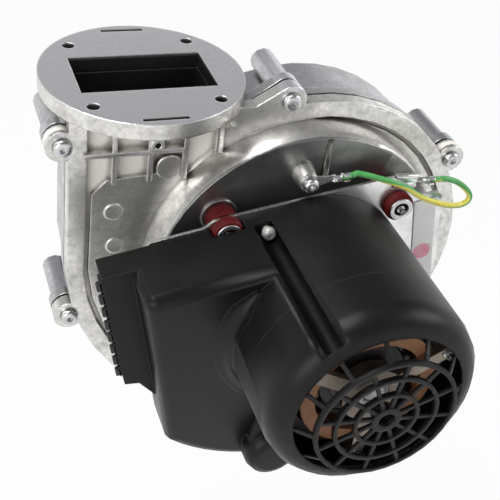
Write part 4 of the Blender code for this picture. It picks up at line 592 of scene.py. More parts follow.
def port_shade_mask(tree, x, y, z):
    """Painted shade in the outlet port and the flange's four holes, from just below the flange's face.
    """
    across = reckon(tree, "DIVIDE", reckon(tree, "ABSOLUTE", x), PORT_HALF[0])
    along = reckon(tree, "DIVIDE", reckon(tree, "ABSOLUTE", y), PORT_HALF[1])
    port = spread(tree, reckon(tree, "MAXIMUM", across, along), *PORT_RIM)
    aside = [reckon(tree, "SUBTRACT", reckon(tree, "ABSOLUTE", value), HOLE_OFFSET) for value in (x, y)]
    square = [reckon(tree, "MULTIPLY", value, value) for value in aside]
    off = reckon(tree, "SQRT", reckon(tree, "ADD", *square))
    inside = reckon(tree, "MAXIMUM", port, mask_of(tree, (off, HOLE_RIM), (z, HOLE_FOOT)))
    return reckon(tree, "MULTIPLY", inside, spread(tree, z, *PORT_SHADE_TOP))


def make_cast_finish(name, light, dark, radius):
    """A die-casting with softly rounded edges that are rubbed bright, painted shade in its port, holes
    and corners, a painted dark reflection on its dome's top, and own tones on the milled face and
    cells."""
    material, tree, shader, place = start_material(name, 0.45, CAST_METALLIC)
    skin = use_group(tree, CAST, {"Vector": place, "Light": (*light, 1), "Dark": (*dark, 1)})
    edge = use_group(tree, EDGE, {"Radius": radius})
    x, y, z = put(tree, "ShaderNodeSeparateXYZ", {0: place}).outputs
    cell = mask_of(tree, (y, CELL_FRONT), (y, CELL_BACK), (z, FLANGE_UNDERSIDE), (z, CELL_FOOT))
    # The dome's flat top is darkened: a painted reflection of the black hood before it.
    dome_top_reflection = mask_of(tree, (y, DOME_TOP_BACK), (y, DOME_TOP_FRONT), (z, FLANGE_UNDERSIDE))
    # Ambient occlusion darkens the sheltered corners and pockets: painted shade.
    corner_occlusion = put(tree, "ShaderNodeAmbientOcclusion", {"Distance": 0.0045}, samples=12)
    colour = skin.outputs["Color"]
    for mask, strength, tone in ((edge.outputs["Mask"], 0.45, CAST_WORN),
                                 # Painted shade in the port and the holes.
                                 (port_shade_mask(tree, x, y, z), 0.90, CAST_PORT_SHADE),
                                 (cell, 0.90, CAST_CELL),
                                 (spread(tree, z, *FACED_TOP), 0.55, CAST_FACED),
                                 (dome_top_reflection, 0.80, CAST_DOME_TOP_REFLECTION),
                                 (spread(tree, corner_occlusion.outputs["AO"], *CORNER_SHADE_LIMITS), 0.80, CAST_CORNER_SHADE)):
        colour = between(tree, reckon(tree, "MULTIPLY", mask, strength), colour, (*tone, 1))
    tree.links.new(colour, shader.inputs["Base Color"])
    tree.links.new(spread(tree, cell, 0, 1, CAST_METALLIC, 0.05), shader.inputs["Metallic"])
    tree.links.new(skin.outputs["Roughness"], shader.inputs["Roughness"])
    finish_bump(tree, shader, skin.outputs["Height"], edge.outputs["Normal"], strength=0.25,
                distance=0.00012)
    return material


cast_front = make_cast_finish("cast_front_skin", CAST_LIGHT, CAST_DARK, CAST_ROUND)
cast_rear = make_cast_finish("cast_rear_skin", (0.64, 0.645, 0.665), (0.40, 0.405, 0.42), CAST_ROUND)
PAN_Y = -0.0241
DOME_Y = -0.0341
DOME_TOP_RADIUS, DOME_FOOT_RADIUS = 0.070, 0.080
DOME_ROUND = 0.010
DOME_LIFT = 0.0045
DOME_WALL = ((0.0, 0.0800, 0.0), (0.25, 0.0794, 0.0042), (0.5, 0.0786, 0.0084),
             (0.75, 0.0778, 0.0122), (1.0, 0.0764, 0.0145))
SLACK = 0.0003
ROUNDEL_PLACES = ((-0.0171, -0.0612), (-0.0156, -0.0816))
ROUNDEL_RADIUS = 0.0046
ROUNDEL_PROFILE = ((0.0, -0.0006), (0.0, 0.0003), (-0.0004, 0.0006), (-0.0010, 0.0006),
                   (-0.0013, 0.0003))
PAD_PLACE, PAD_RADIUS = (0.0089, -0.0375), 0.0068
PAD_PROFILE = ((0.0, -0.0015), (0.0, 0.0011), (-0.0005, 0.0016))


def stand_dome_up(piece):
    """Give the dome over the impeller its upright wall and its higher flat top, with whatever
    stands low on the top carried along."""
    for vertex in piece.data.vertices:
        x, z = vertex.co.x - SHAFT.x, vertex.co.z - SHAFT.z
        radius, height = math.hypot(x, z), PAN_Y - vertex.co.y
        top = DOME_Y - vertex.co.y
        if radius < DOME_TOP_RADIUS - SLACK and -0.0004 < top < 0.0050:
            vertex.co.y -= DOME_LIFT
            continue
        if radius > DOME_FOOT_RADIUS + SLACK or height < 0.0001 or top > 0.0002:
            continue
        out = radius - DOME_TOP_RADIUS
        turn = math.atan2(height, out) / (math.pi / 2)
        if out < -SLACK or abs(math.hypot(out, height) - DOME_ROUND) > 2 * SLACK:
            continue
        turn = min(max(turn, 0.0), 1.0)
        for (t0, r0, h0), (t1, r1, h1) in zip(DOME_WALL, DOME_WALL[1:]):
            if turn <= t1:
                share = (turn - t0) / (t1 - t0)
                reach, rise = r0 + (r1 - r0) * share, h0 + (h1 - h0) * share
                vertex.co = (SHAFT.x + x * reach / radius, PAN_Y - rise, SHAFT.z + z * reach / radius)
                break
    piece.data.update()


def make_boss(name, place, radius, profile, sides):
    """A low disc on the pan with a shaped rim: how far in from its radius, and how high."""
    rim = [(radius + inset, PAN_Y - rise) for inset, rise in profile]
    return make_disc(name, place, [(0.0, rim[0][1])] + rim + [(0.0, rim[-1][1])], sides)


front_marks = [make_boss(f"roundel_{i}", place, ROUNDEL_RADIUS, ROUNDEL_PROFILE, sides=44)
               for i, place in enumerate(ROUNDEL_PLACES)]
front_marks.append(make_boss("pad", PAD_PLACE, PAD_RADIUS, PAD_PROFILE, sides=48))
dress("front_casting", "front_casing", cast_front, "fan_housing", "cast_aluminium", crease=26.0,
      added=front_marks, reshape=stand_dome_up)
dress("rear_casting", "rear_casing", cast_rear, "fan_housing", "cast_aluminium")


# ---------------------------------------------------------------- gasket and seal
# A gasket of black rubber, moulded to the scroll's outline, lies between the casings. A
# washer of grey felt, punched from sheet, seals the shaft where it enters the scroll.

def make_plain_finish(name, colour, other, roughness, grain, depth=0.25, patch=60.0, radius=0.0003,
                      metallic=0.0):
    """A matte moulded or sintered surface: two close tones, a fine grain and soft edges."""
    material, tree, shader, place = start_material(name, roughness, metallic)
    skin = use_group(tree, GRAIN, {"Vector": place, "Grain scale": grain, "Patch scale": patch})
    edge = use_group(tree, EDGE, {"Radius": radius})
    tree.links.new(between(tree, skin.outputs["Patches"], (*colour, 1), (*other, 1)),
                   shader.inputs["Base Color"])
    tree.links.new(spread(tree, skin.outputs["Patches"], 0, 1, roughness - 0.05, roughness + 0.07),
                   shader.inputs["Roughness"])
    finish_bump(tree, shader, skin.outputs["Height"], edge.outputs["Normal"], strength=depth,
                distance=0.0002)
    return material


gasket_rubber = make_plain_finish("gasket_rubber_skin", (0.030, 0.030, 0.030), (0.045, 0.044, 0.042),
                                  roughness=0.70, grain=1400.0)
seal_felt = make_plain_finish("seal_felt", (0.24, 0.22, 0.18), (0.34, 0.31, 0.26), roughness=0.85,
                              grain=2600.0, depth=0.6)
dress("gasket_ring", "casing_gasket", gasket_rubber, "fan_housing", "gasket_rubber")
dress("felt_seal", "shaft_seal", seal_felt, "fan_housing", "seal_rubber")


# ---------------------------------------------------------------- screws
# Zinc-plated pan-head screws with six-lobe sockets. They are cold headed, so the head is
# domed at its rim and the socket has crisp walls.

SCREW_HEAD = 0.0028
HOOD_SCREW_HEAD = 0.0032
SCREW_SHANK = 0.0020
SOCKET_TURN = 1.047

zinc = make_metal_finish("zinc_plate", (0.70, 0.71, 0.72), roughness=0.27, patch=190.0)
dull_zinc = make_plain_finish("dull_zinc", (0.58, 0.58, 0.56), (0.72, 0.72, 0.70), roughness=0.42,
                              grain=1500.0, depth=0.2, patch=260.0, metallic=0.35)


def domed_head(tree, size):
    """A cylinder that stands on the screw's seat, drawn in at its rim and crowned."""
    blank = put(tree, "GeometryNodeMeshCylinder",
                {"Vertices": 48, "Side Segments": 10, "Fill Segments": 4,
                 "Radius": size["Head radius"], "Depth": size["Head height"]})
    position = tree.nodes.new("GeometryNodeInputPosition").outputs[0]
    at = put(tree, "ShaderNodeSeparateXYZ", {0: position}).outputs
    rise = reckon(tree, "ADD", reckon(tree, "DIVIDE", at[2], size["Head height"]), 0.5)
    shoulder = reckon(tree, "POWER", spread(tree, rise, 0.40, 1.0), 2.6)
    narrowing = reckon(tree, "SUBTRACT", 1.0, reckon(tree, "MULTIPLY", shoulder, 0.30))
    out = put(tree, "ShaderNodeVectorMath", {0: position, 1: (1, 1, 0)}, operation="MULTIPLY")
    reach = put(tree, "ShaderNodeVectorMath", {0: out.outputs[0]}, operation="LENGTH")
    share = reckon(tree, "DIVIDE", reach.outputs["Value"], size["Head radius"])
    middle = reckon(tree, "SUBTRACT", 1.0, reckon(tree, "POWER", share, 2.0))
    crown = reckon(tree, "MULTIPLY", reckon(tree, "MULTIPLY", middle, rise),
                   reckon(tree, "MULTIPLY", size["Head height"], 0.10))
    height = reckon(tree, "ADD", reckon(tree, "ADD", at[2], crown),
                    reckon(tree, "MULTIPLY", size["Head height"], 0.5))
    place = put(tree, "ShaderNodeCombineXYZ", {0: reckon(tree, "MULTIPLY", at[0], narrowing),
                                               1: reckon(tree, "MULTIPLY", at[1], narrowing),
                                               2: height})
    return put(tree, "GeometryNodeSetPosition", {"Geometry": blank.outputs["Mesh"],
                                                 "Position": place.outputs[0]}).outputs[0]


def six_lobe_punch(tree, size):
    """A bar with six rounded lobes, from the socket's floor to well above the head."""
    star = put(tree, "GeometryNodeCurveStar",
               {"Points": 6, "Outer Radius": size["Socket radius"],
                "Inner Radius": reckon(tree, "MULTIPLY", size["Socket radius"], 0.70)})
    lobes = put(tree, "GeometryNodeFilletCurve",
                {"Curve": star.outputs[0], "Count": 3,
                 "Radius": reckon(tree, "MULTIPLY", size["Socket radius"], 0.20)}, mode="POLY")
    floor_height = reckon(tree, "SUBTRACT", size["Head height"], size["Socket depth"])
    low = put(tree, "ShaderNodeCombineXYZ", {2: floor_height})
    high = put(tree, "ShaderNodeCombineXYZ", {2: reckon(tree, "MULTIPLY", size["Head height"], 1.5)})
    axis = put(tree, "GeometryNodeCurvePrimitiveLine", {"Start": low.outputs[0],
                                                        "End": high.outputs[0]})
    return put(tree, "GeometryNodeCurveToMesh", {"Curve": axis.outputs[0],
                                                 "Profile Curve": lobes.outputs[0],
                                                 "Fill Caps": True}).outputs[0]


def make_screw_tree():
    """Screws at each point of the input: a domed head with a socket, over a plain shank."""
    tree = bpy.data.node_groups.new("pan_head_screws", "GeometryNodeTree")
    tree.interface.new_socket("Places", in_out="INPUT", socket_type="NodeSocketGeometry")
    for label in ("Head radius", "Head height", "Socket radius", "Socket depth", "Shank radius",
                  "Shank length"):
        tree.interface.new_socket(label, in_out="INPUT", socket_type="NodeSocketFloat")
    tree.interface.new_socket("Finish", in_out="INPUT", socket_type="NodeSocketMaterial")
    tree.interface.new_socket("Screws", in_out="OUTPUT", socket_type="NodeSocketGeometry")
    given, result = tree.nodes.new("NodeGroupInput"), tree.nodes.new("NodeGroupOutput")
    size = given.outputs
    socket = put(tree, "GeometryNodeMeshBoolean", {"Mesh 1": domed_head(tree, size),
                                                   "Mesh 2": six_lobe_punch(tree, size)},
                 operation="DIFFERENCE")
    shank = put(tree, "GeometryNodeMeshCylinder", {"Vertices": 20, "Radius": size["Shank radius"],
                                                   "Depth": size["Shank length"]})
    lowered = put(tree, "ShaderNodeCombineXYZ",
                  {2: reckon(tree, "MULTIPLY", size["Shank length"], -0.5)})
    below = put(tree, "GeometryNodeTransform", {"Geometry": shank.outputs["Mesh"],
                                                "Translation": lowered.outputs[0]})
    whole = tree.nodes.new("GeometryNodeJoinGeometry")
    tree.links.new(below.outputs[0], whole.inputs[0])
    tree.links.new(socket.outputs[0], whole.inputs[0])
    turn = put(tree, "FunctionNodeRandomValue", {"Max": SOCKET_TURN, "Seed": 7}, data_type="FLOAT")
    placed = put(tree, "GeometryNodeInstanceOnPoints", {"Points": given.outputs["Places"],
                                                        "Instance": whole.outputs[0],
                                                        "Rotation": (math.pi / 2, 0, 0)})
    turned = put(tree, "GeometryNodeRotateInstances",
                 {"Instances": placed.outputs[0],
                  "Rotation": put(tree, "ShaderNodeCombineXYZ", {2: turn.outputs[1]}).outputs[0]})
    real = put(tree, "GeometryNodeRealizeInstances", {"Geometry": turned.outputs[0]})
    coated = put(tree, "GeometryNodeSetMaterial", {"Geometry": real.outputs[0],
                                                   "Material": given.outputs["Finish"]})
    tree.links.new(coated.outputs[0], result.inputs[0])
    return tree


SCREWS = make_screw_tree()


def grow(name, tree, mesh, inputs):
    """Run a geometry tree on a mesh and keep what it makes as a plain mesh at the origin."""
    source = bpy.data.objects.new(name + "_places", mesh)
    bpy.context.scene.collection.objects.link(source)
    modifier = source.modifiers.new("grow", "NODES")
    modifier.node_group = tree
    for item in tree.interface.items_tree:
        if item.item_type == "SOCKET" and item.in_out == "INPUT" and item.name in inputs:
            modifier[item.identifier] = inputs[item.name]
    evaluated = source.evaluated_get(bpy.context.evaluated_depsgraph_get())
    made = bpy.data.meshes.new_from_object(evaluated)
    source.modifiers.clear()
    bpy.data.objects.remove(source)
    made.name = name
    made.shade_smooth()
    made.set_sharp_from_angle(angle=math.radians(32))
    piece = bpy.data.objects.new(name, made)
    bpy.context.scene.collection.objects.link(piece)
    return piece


def make_screws(name, nodes, finish, head_height, socket, head_radius=None, front=None):
    """One piece for all screws of a kind. Each takes its head's radius and face from its
    node's box, unless a head radius or a front plane is given."""
    places, reach, length = [], head_radius or 0.0, 0.0
    for label in nodes:
        low, high = (Vector(corner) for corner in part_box(label))
        centre = (low + high) / 2
        face = low.y if front is None else front
        places.append((centre.x, face + head_height, centre.z))
        reach = head_radius or max(reach, (high.x - low.x) / 2)
        length = high.y - face - head_height
    mesh = bpy.data.meshes.new(name + "_points")
    mesh.from_pydata(places, [], [])
    piece = grow(name, SCREWS, mesh, {"Head radius": reach, "Head height": head_height * 0.98,
                                      "Socket radius": socket, "Socket depth": head_height * 0.62,
                                      "Shank radius": SCREW_SHANK, "Shank length": length,
                                      "Finish": finish})
    return settle(piece, finish, "fan_housing", "zinc_plated_steel", *nodes)


def numbered(name, count):
    """The names of a node's copies, from _1 on."""
    return [f"{name}_{i}" for i in range(1, count + 1)]


make_screws("casing_screw_set", numbered("casing_screw", 6), zinc, SCREW_HEAD, socket=0.0020)
make_screws("bush_screw_set", numbered("bush_screw", 3), zinc, SCREW_HEAD, socket=0.0017,
            head_radius=0.0036, front=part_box("bush_sleeve_1")[0][1] - 0.0022)
make_screws("hood_screw_set", numbered("hood_screw", 2), dull_zinc, HOOD_SCREW_HEAD, socket=0.0016,
            head_radius=0.0034, front=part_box("hood_screw_1")[0][1] - 0.0028)
make_screws("earth_screw_head", ["earth_screw"], zinc, SCREW_HEAD, socket=0.0018)
make_screws("motor_bolt_set", numbered("motor_bolt", 3), zinc, SCREW_HEAD, socket=0.0016)


# ---------------------------------------------------------------- earth washer and motor plate
# A bright zinc-plated steel plate, pressed with a stepped upper edge, carries the motor on
# three rubber bushes. A spring washer sits under the earth screw.

plate_zinc = make_metal_finish("plate_zinc", (0.88, 0.89, 0.88), roughness=0.27, patch=55.0,
                               grain=900.0)
dress("pressed_plate", "motor_plate", plate_zinc, "fan_housing", "zinc_plated_steel")
dress("spring_washer", "earth_washer", zinc, "fan_housing", "zinc_plated_steel", crease=25.0)


# ---------------------------------------------------------------- rubber bushes and sleeves
# Three dark red silicone bushes with a neck in the plate's holes. A flanged steel sleeve
# stands in each, so that its screw can be tight while the bush stays soft.

BUSH_RED = (0.105, 0.0045, 0.0055)
BUSH_PALER = (0.13, 0.007, 0.008)
BUSH_WORN = (0.17, 0.012, 0.012)
BUSH_BORE, BUSH_NECK, BUSH_RADIUS = 0.0045, 0.0053, 0.0076
NECK_BACK, NECK_FRONT = -0.0483, -0.0505
SLEEVE_BORE = 0.0023


def make_bush_finish():
    """Red silicone: almost matte, a little lighter where it is thin or rubbed."""
    material, tree, shader, place = start_material("silicone_red", 0.52)
    shader.inputs["Specular IOR Level"].default_value = 0.25
    skin = use_group(tree, GRAIN, {"Vector": place, "Grain scale": 900.0, "Patch scale": 180.0})
    edge = use_group(tree, EDGE, {"Radius": 0.0006})
    colour = between(tree, skin.outputs["Patches"], (*BUSH_RED, 1), (*BUSH_PALER, 1))
    tree.links.new(between(tree, reckon(tree, "MULTIPLY", edge.outputs["Mask"], 0.6), colour,
                           (*BUSH_WORN, 1)), shader.inputs["Base Color"])
    tree.links.new(spread(tree, skin.outputs["Patches"], 0, 1, 0.46, 0.60), shader.inputs["Roughness"])
    finish_bump(tree, shader, skin.outputs["Height"], edge.outputs["Normal"], strength=0.2,
                distance=0.0002)
    return material


def bush_profile(face, seat):
    """Half a bush's outline, from its seat on the casing past its neck to its front face."""
    lip = BUSH_RADIUS - 0.0003
    return [(BUSH_BORE, seat), (0.0071, seat), (BUSH_RADIUS, seat - 0.0005),
            (BUSH_RADIUS, NECK_BACK + 0.0003), (lip, NECK_BACK), (BUSH_NECK, NECK_BACK),
            (BUSH_NECK, NECK_FRONT), (lip, NECK_FRONT), (BUSH_RADIUS, NECK_FRONT - 0.0003),
            (BUSH_RADIUS, face + 0.0012), (lip, face + 0.0005), (0.0068, face + 0.0001),
            (0.0064, face), (BUSH_BORE, face)]


def sleeve_profile(rim, foot):
    """Half a sleeve's outline: a thin tube with a rolled flange at its front."""
    return [(SLEEVE_BORE, foot), (0.0042, foot), (0.0042, rim + 0.0009), (0.0060, rim + 0.0009),
            (0.0062, rim + 0.0007), (0.0062, rim + 0.0003), (0.0059, rim + 0.00005), (0.0056, rim),
            (0.0041, rim), (0.0037, rim + 0.0003), (0.0036, rim + 0.0008), (0.0036, foot - 0.0015),
            (SLEEVE_BORE, foot - 0.0015)]


silicone = make_bush_finish()
for i in range(1, 4):
    low, high = (Vector(corner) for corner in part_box(f"rubber_bush_{i}"))
    centre = ((low.x + high.x) / 2, (low.z + high.z) / 2)
    settle(make_disc(f"silicone_bush_{i}", centre, bush_profile(low.y, high.y), sides=56),
           silicone, "fan_housing", "red_silicone", f"rubber_bush_{i}")
    low, high = (Vector(corner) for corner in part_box(f"bush_sleeve_{i}"))
    settle(make_disc(f"flanged_sleeve_{i}", centre, sleeve_profile(low.y, high.y), sides=56),
           zinc, "fan_housing", "zinc_plated_steel", f"bush_sleeve_{i}")


# ---------------------------------------------------------------- hood
# One black moulding, glass-filled polyamide, over the motor and its electronics: a round
# cap with an open grille, a box and a plug shelf. Its skin is satin with a fine spark grain.

HOOD_BLACK = (0.0048, 0.0047, 0.0047)
HOOD_SHADOW = (0.0072, 0.0070, 0.0068)
HOOD_RUBBED = (0.016, 0.0155, 0.0150)
HOOD_LINE = (0.045, 0.045, 0.047)
CAP_RADIUS = 0.052
BOX_FRONT_Y = -0.0900
BOX_SLOPE = 0.11
BOX_TOP = 0.0485
FILLET_RADIUS = 0.0075
PARTING_Y = -0.1100
FILLET_START, FILLET_END = 133.0, 243.0
FILLET_STEPS, HOLLOW_STEPS = 48, 10
HUB_OUTER, HUB_INNER = 0.0052, 0.0039
HUB_FLOOR_Y, HUB_RING_Y = -0.1430, -0.1480


def make_hood_finish():
    """Black moulding: faint sink shadows, handling streaks, a sandy grain and rubbed edges."""
    material, tree, shader, place = start_material("hood_polyamide", 0.50)
    shader.inputs["Specular IOR Level"].default_value = 0.23
    skin = use_group(tree, GRAIN, {"Vector": place, "Grain scale": 1300.0, "Patch scale": 22.0})
    edge = use_group(tree, EDGE, {"Radius": 0.0015})
    streaks = put(tree, "ShaderNodeMapping", {"Vector": place, "Rotation": (0.2, 0.3, MOTOR_TILT),
                                              "Scale": (1.0, 0.12, 1.0)})
    scuff = put(tree, "ShaderNodeTexNoise", {"Vector": streaks.outputs[0], "Scale": 260.0,
                                             "Detail": 4.0, "Roughness": 0.75})
    rubbed = spread(tree, scuff.outputs[0], 0.60, 0.80, 0.0, 0.35)
    colour = between(tree, skin.outputs["Patches"], (*HOOD_BLACK, 1), (*HOOD_SHADOW, 1))
    colour = between(tree, rubbed, colour, (*HOOD_RUBBED, 1))
    colour = between(tree, reckon(tree, "MULTIPLY", edge.outputs["Mask"], 0.2), colour,
                     (*HOOD_RUBBED, 1))
    at = put(tree, "ShaderNodeSeparateXYZ", {0: place})
    apart = reckon(tree, "ABSOLUTE", reckon(tree, "SUBTRACT", at.outputs[1], PARTING_Y))
    parting = reckon(tree, "MULTIPLY", spread(tree, apart, 0.00035, 0.0001),
                     spread(tree, scuff.outputs[0], 0.35, 0.60))
    colour = between(tree, reckon(tree, "MULTIPLY", parting, 0.6), colour, (*HOOD_LINE, 1))
    tree.links.new(colour, shader.inputs["Base Color"])
    tree.links.new(spread(tree, skin.outputs["Patches"], 0, 1, 0.34, 0.44), shader.inputs["Roughness"])
    finish_bump(tree, shader, skin.outputs["Height"], edge.outputs["Normal"], strength=0.22,
                distance=0.0002)
    return material


def make_cap_fillet():
    """The soft hollow where the round cap rises out of the box's sloping front."""
    tree = bmesh.new()
    rows = []
    for i in range(FILLET_STEPS + 1):
        share = i / FILLET_STEPS
        a = math.radians(FILLET_START + (FILLET_END - FILLET_START) * share)
        radius = FILLET_RADIUS * min(1.0, 0.25 + 6.0 * share, 0.25 + 6.0 * (1 - share))
        row = []
        for k in range(HOLLOW_STEPS + 1):
            b = math.pi / 2 * k / HOLLOW_STEPS
            reach = CAP_RADIUS - 0.0003 + radius * (1 - math.cos(b))
            front = BOX_FRONT_Y + BOX_SLOPE * (BOX_TOP - reach * math.sin(a)) - 0.0002
            row.append((reach, front - radius * (1 - math.sin(b))))
        front = row[-1][1]
        row += [(row[-1][0], front + 0.0010), (CAP_RADIUS - 0.0012, front + 0.0010),
                (CAP_RADIUS - 0.0012, row[0][1])]
        rows.append([tree.verts.new(tilted(r * math.cos(a), y, r * math.sin(a))) for r, y in row])
    for row, after in zip(rows, rows[1:]):
        for k in range(len(row)):
            tree.faces.new((row[k - 1], row[k], after[k], after[k - 1]))
    tree.faces.new(rows[0])
    tree.faces.new(rows[-1])
    bmesh.ops.recalc_face_normals(tree, faces=tree.faces)
    return new_piece("cap_fillet", tree)


def make_hub_floor():
    """The closed back of the grille's hub."""
    return make_disc("hub_floor", (SHAFT[0], SHAFT[2]),
                     [(0, HUB_FLOOR_Y), (HUB_OUTER, HUB_FLOOR_Y), (HUB_OUTER, HUB_RING_Y),
                      (HUB_INNER, HUB_RING_Y), (HUB_INNER, HUB_FLOOR_Y - 0.0010),
                      (0, HUB_FLOOR_Y - 0.0010)], sides=32)


dress("hood_moulding", "motor_hood", make_hood_finish(), "fan_housing", "black_hood_plastic",
      crease=34.0, added=[make_cap_fillet(), make_hub_floor()])


# ---------------------------------------------------------------- connectors
# Two black moulded sockets, three ways for the mains and five for the signals, side by side
# along the board. Each way is an open chamber with a keying tongue in front of it.

CONNECTOR_TOP = 0.0455
WAY_PITCH = 0.0081
SOCKET_GAP = 0.0003
TONGUE_ROOT, TONGUE_TIP = -0.1026, -0.1050
TONGUE_HALF = 0.0024
TONGUE_CHAMFER = 0.0006
TONGUE_SHARE = 0.42
TONGUE_FRONT, TONGUE_BACK = -0.0631, -0.0610


def make_tongues(top, ways):
    """One keying tongue in front of each way, chamfered at its tip, standing past the box."""
    tree = bmesh.new()
    for i in range(ways):
        v = top - (i + TONGUE_SHARE) * WAY_PITCH
        shoulder = TONGUE_TIP + TONGUE_CHAMFER
        outline = [(TONGUE_ROOT, v - TONGUE_HALF), (TONGUE_ROOT, v + TONGUE_HALF),
                   (shoulder, v + TONGUE_HALF), (TONGUE_TIP, v + TONGUE_HALF - TONGUE_CHAMFER),
                   (TONGUE_TIP, v - TONGUE_HALF + TONGUE_CHAMFER), (shoulder, v - TONGUE_HALF)]
        front = [tree.verts.new(tilted(u, TONGUE_FRONT, w)) for u, w in outline]
        back = [tree.verts.new(tilted(u, TONGUE_BACK, w)) for u, w in outline]
        tree.faces.new(front)
        tree.faces.new(back[::-1])
        for k in range(len(outline)):
            tree.faces.new((front[k], front[k - 1], back[k - 1], back[k]))
    bmesh.ops.recalc_face_normals(tree, faces=tree.faces)
    return new_piece("tongues", tree)


connector_black = make_plain_finish("connector_moulding", (0.007, 0.007, 0.007), (0.012, 0.012, 0.012),
                                    roughness=0.36, grain=1800.0, depth=0.2, patch=120.0)
dress("mains_socket", "mains_connector", connector_black, "fan_housing", "connector_plastic",
      added=[make_tongues(CONNECTOR_TOP, 3)])
signal_top = CONNECTOR_TOP - 3 * WAY_PITCH - SOCKET_GAP
dress("signal_socket", "signal_connector", connector_black, "fan_housing", "connector_plastic",
      added=[make_tongues(signal_top, 5)])


# ---------------------------------------------------------------- circuit board and its parts
# Green-masked glass laminate with two electrolytic capacitors in dark sleeves and a
# suppression choke wound with enamelled copper.

def make_board_finish():
    """Solder mask over copper: green, glossy, with paler tracks under it."""
    material, tree, shader, place = start_material("solder_mask", 0.28)
    turned = put(tree, "ShaderNodeMapping", {"Vector": place, "Rotation": (0, MOTOR_TILT, 0)})
    tracks = put(tree, "ShaderNodeTexBrick", {"Vector": turned.outputs[0], "Scale": 160.0,
                                              "Mortar Size": 0.10, "Color1": (0.012, 0.13, 0.055, 1),
                                              "Color2": (0.010, 0.11, 0.045, 1),
                                              "Mortar": (0.03, 0.24, 0.10, 1)})
    tree.links.new(tracks.outputs["Color"], shader.inputs["Base Color"])
    finish_bump(tree, shader, tracks.outputs["Fac"], strength=0.2, distance=0.0001)
    return material


def make_wound_finish(name, wave_scale):
    """Enamelled copper wire wound close: fine ridges, warm and shiny, with painted shade between turns.
    """
    material, tree, shader, place = start_material(name, 0.30, 0.85)
    ridges = put(tree, "ShaderNodeTexWave", {"Vector": place, "Scale": wave_scale,
                                             "Distortion": 1.2, "Detail": 2.0, "Detail Scale": 1.5})
    skin = use_group(tree, GRAIN, {"Vector": place, "Grain scale": 700.0, "Patch scale": 90.0})
    wire = between(tree, skin.outputs["Patches"], (0.36, 0.115, 0.040, 1), (0.50, 0.19, 0.075, 1))
    # The dark tone between the ridges is painted shade between the turns.
    tree.links.new(between(tree, ridges.outputs["Fac"], (0.12, 0.035, 0.015, 1), wire),
                   shader.inputs["Base Color"])
    finish_bump(tree, shader, ridges.outputs["Fac"], strength=0.8, distance=0.0003)
    return material


dress("board_laminate", "circuit_board", make_board_finish(), "fan_housing", "board_laminate")
can_sleeve = make_plain_finish("capacitor_sleeve_skin", (0.018, 0.024, 0.055), (0.026, 0.034, 0.070),
                               roughness=0.30, grain=900.0, depth=0.1)
for i in (1, 2):
    dress(f"capacitor_can_{i}", f"capacitor_{i}", can_sleeve, "fan_housing", "capacitor_sleeve")
dress("wound_choke", "choke", make_wound_finish("choke_wire", wave_scale=420.0), "fan_housing",
      "enamelled_copper")


# ---------------------------------------------------------------- stator
# Six wound teeth on a stack of punched sheet, held to the cast flange by three bolts
# through the end bracket, with a brown moulded ring that carries the coil ends.

coil_wire = make_wound_finish("coil_wire", wave_scale=520.0)
for i in range(1, 7):
    dress(f"coil_winding_{i}", f"stator_coil_{i}", coil_wire, "fan_housing", "enamelled_copper")


def make_stack_finish(name, tint):
    """Stacked electrical sheet: fine lines across the shaft and a faint brown bloom."""
    material, tree, shader, place = start_material(name, 0.45, 0.9)
    lay = put(tree, "ShaderNodeMapping", {"Vector": place, "Scale": (0.02, 1.0, 0.02)})
    sheets = put(tree, "ShaderNodeTexWave", {"Vector": lay.outputs[0], "Scale": 900.0},
                 bands_direction="Y")
    skin = use_group(tree, GRAIN, {"Vector": place, "Grain scale": 900.0, "Patch scale": 60.0})
    colour = between(tree, skin.outputs["Patches"], (*tint, 1), (0.34, 0.29, 0.24, 1))
    gap = (0.10, 0.09, 0.085, 1)
    tree.links.new(between(tree, spread(tree, sheets.outputs["Fac"], 0, 0.4), gap, colour),
                   shader.inputs["Base Color"])
    finish_bump(tree, shader, sheets.outputs["Fac"], strength=0.5, distance=0.0001)
    return material


sheet_stack = make_stack_finish("sheet_stack", (0.36, 0.36, 0.37))
dress("stator_stack", "stator_core", sheet_stack, "fan_housing", "laminated_steel")
cast_inner = make_cast_finish("cast_motor_skin", (0.74, 0.73, 0.71), (0.52, 0.515, 0.50), 0.0005)
dress("cast_motor_flange", "motor_flange", cast_inner, "fan_housing", "cast_aluminium")
# Darker and browner than cast metal: painted shade, as the bracket sits in the hood's shade.
bracket_painted_shade = make_metal_finish("bracket_painted_shade", (0.42, 0.36, 0.30), roughness=0.36, patch=70.0,
                                 grain=900.0)
dress("cast_end_bracket", "end_bracket", bracket_painted_shade, "fan_housing", "cast_aluminium")
brown_moulding = make_plain_finish("brown_moulding", (0.27, 0.115, 0.045), (0.36, 0.17, 0.075),
                                   roughness=0.42, grain=1200.0)
dress("coil_end_ring", "terminal_ring", brown_moulding, "fan_housing", "terminal_plastic")


# ---------------------------------------------------------------- bearings and shaft
# Two ground ball bearings, the front one in the flange's housing and the rear one in the
# bracket behind a wave spring, carry the ground shaft.

def make_ground_finish(name, tint, roughness):
    """Ground steel: fine rings round the shaft and a bright, slightly oily look."""
    material, tree, shader, place = start_material(name, roughness, 1.0)
    centred = put(tree, "ShaderNodeMapping", {"Vector": place, "Location": tuple(-SHAFT)})
    lines = put(tree, "ShaderNodeTexWave", {"Vector": centred.outputs[0], "Scale": 700.0,
                                            "Distortion": 0.4}, wave_type="RINGS", rings_direction="Y")
    skin = use_group(tree, GRAIN, {"Vector": place, "Grain scale": 2500.0, "Patch scale": 80.0})
    dull = tuple(0.8 * v for v in tint) + (1,)
    tree.links.new(between(tree, skin.outputs["Patches"], dull, (*tint, 1)),
                   shader.inputs["Base Color"])
    finish_bump(tree, shader, lines.outputs["Fac"], strength=0.10, distance=0.00008)
    return material


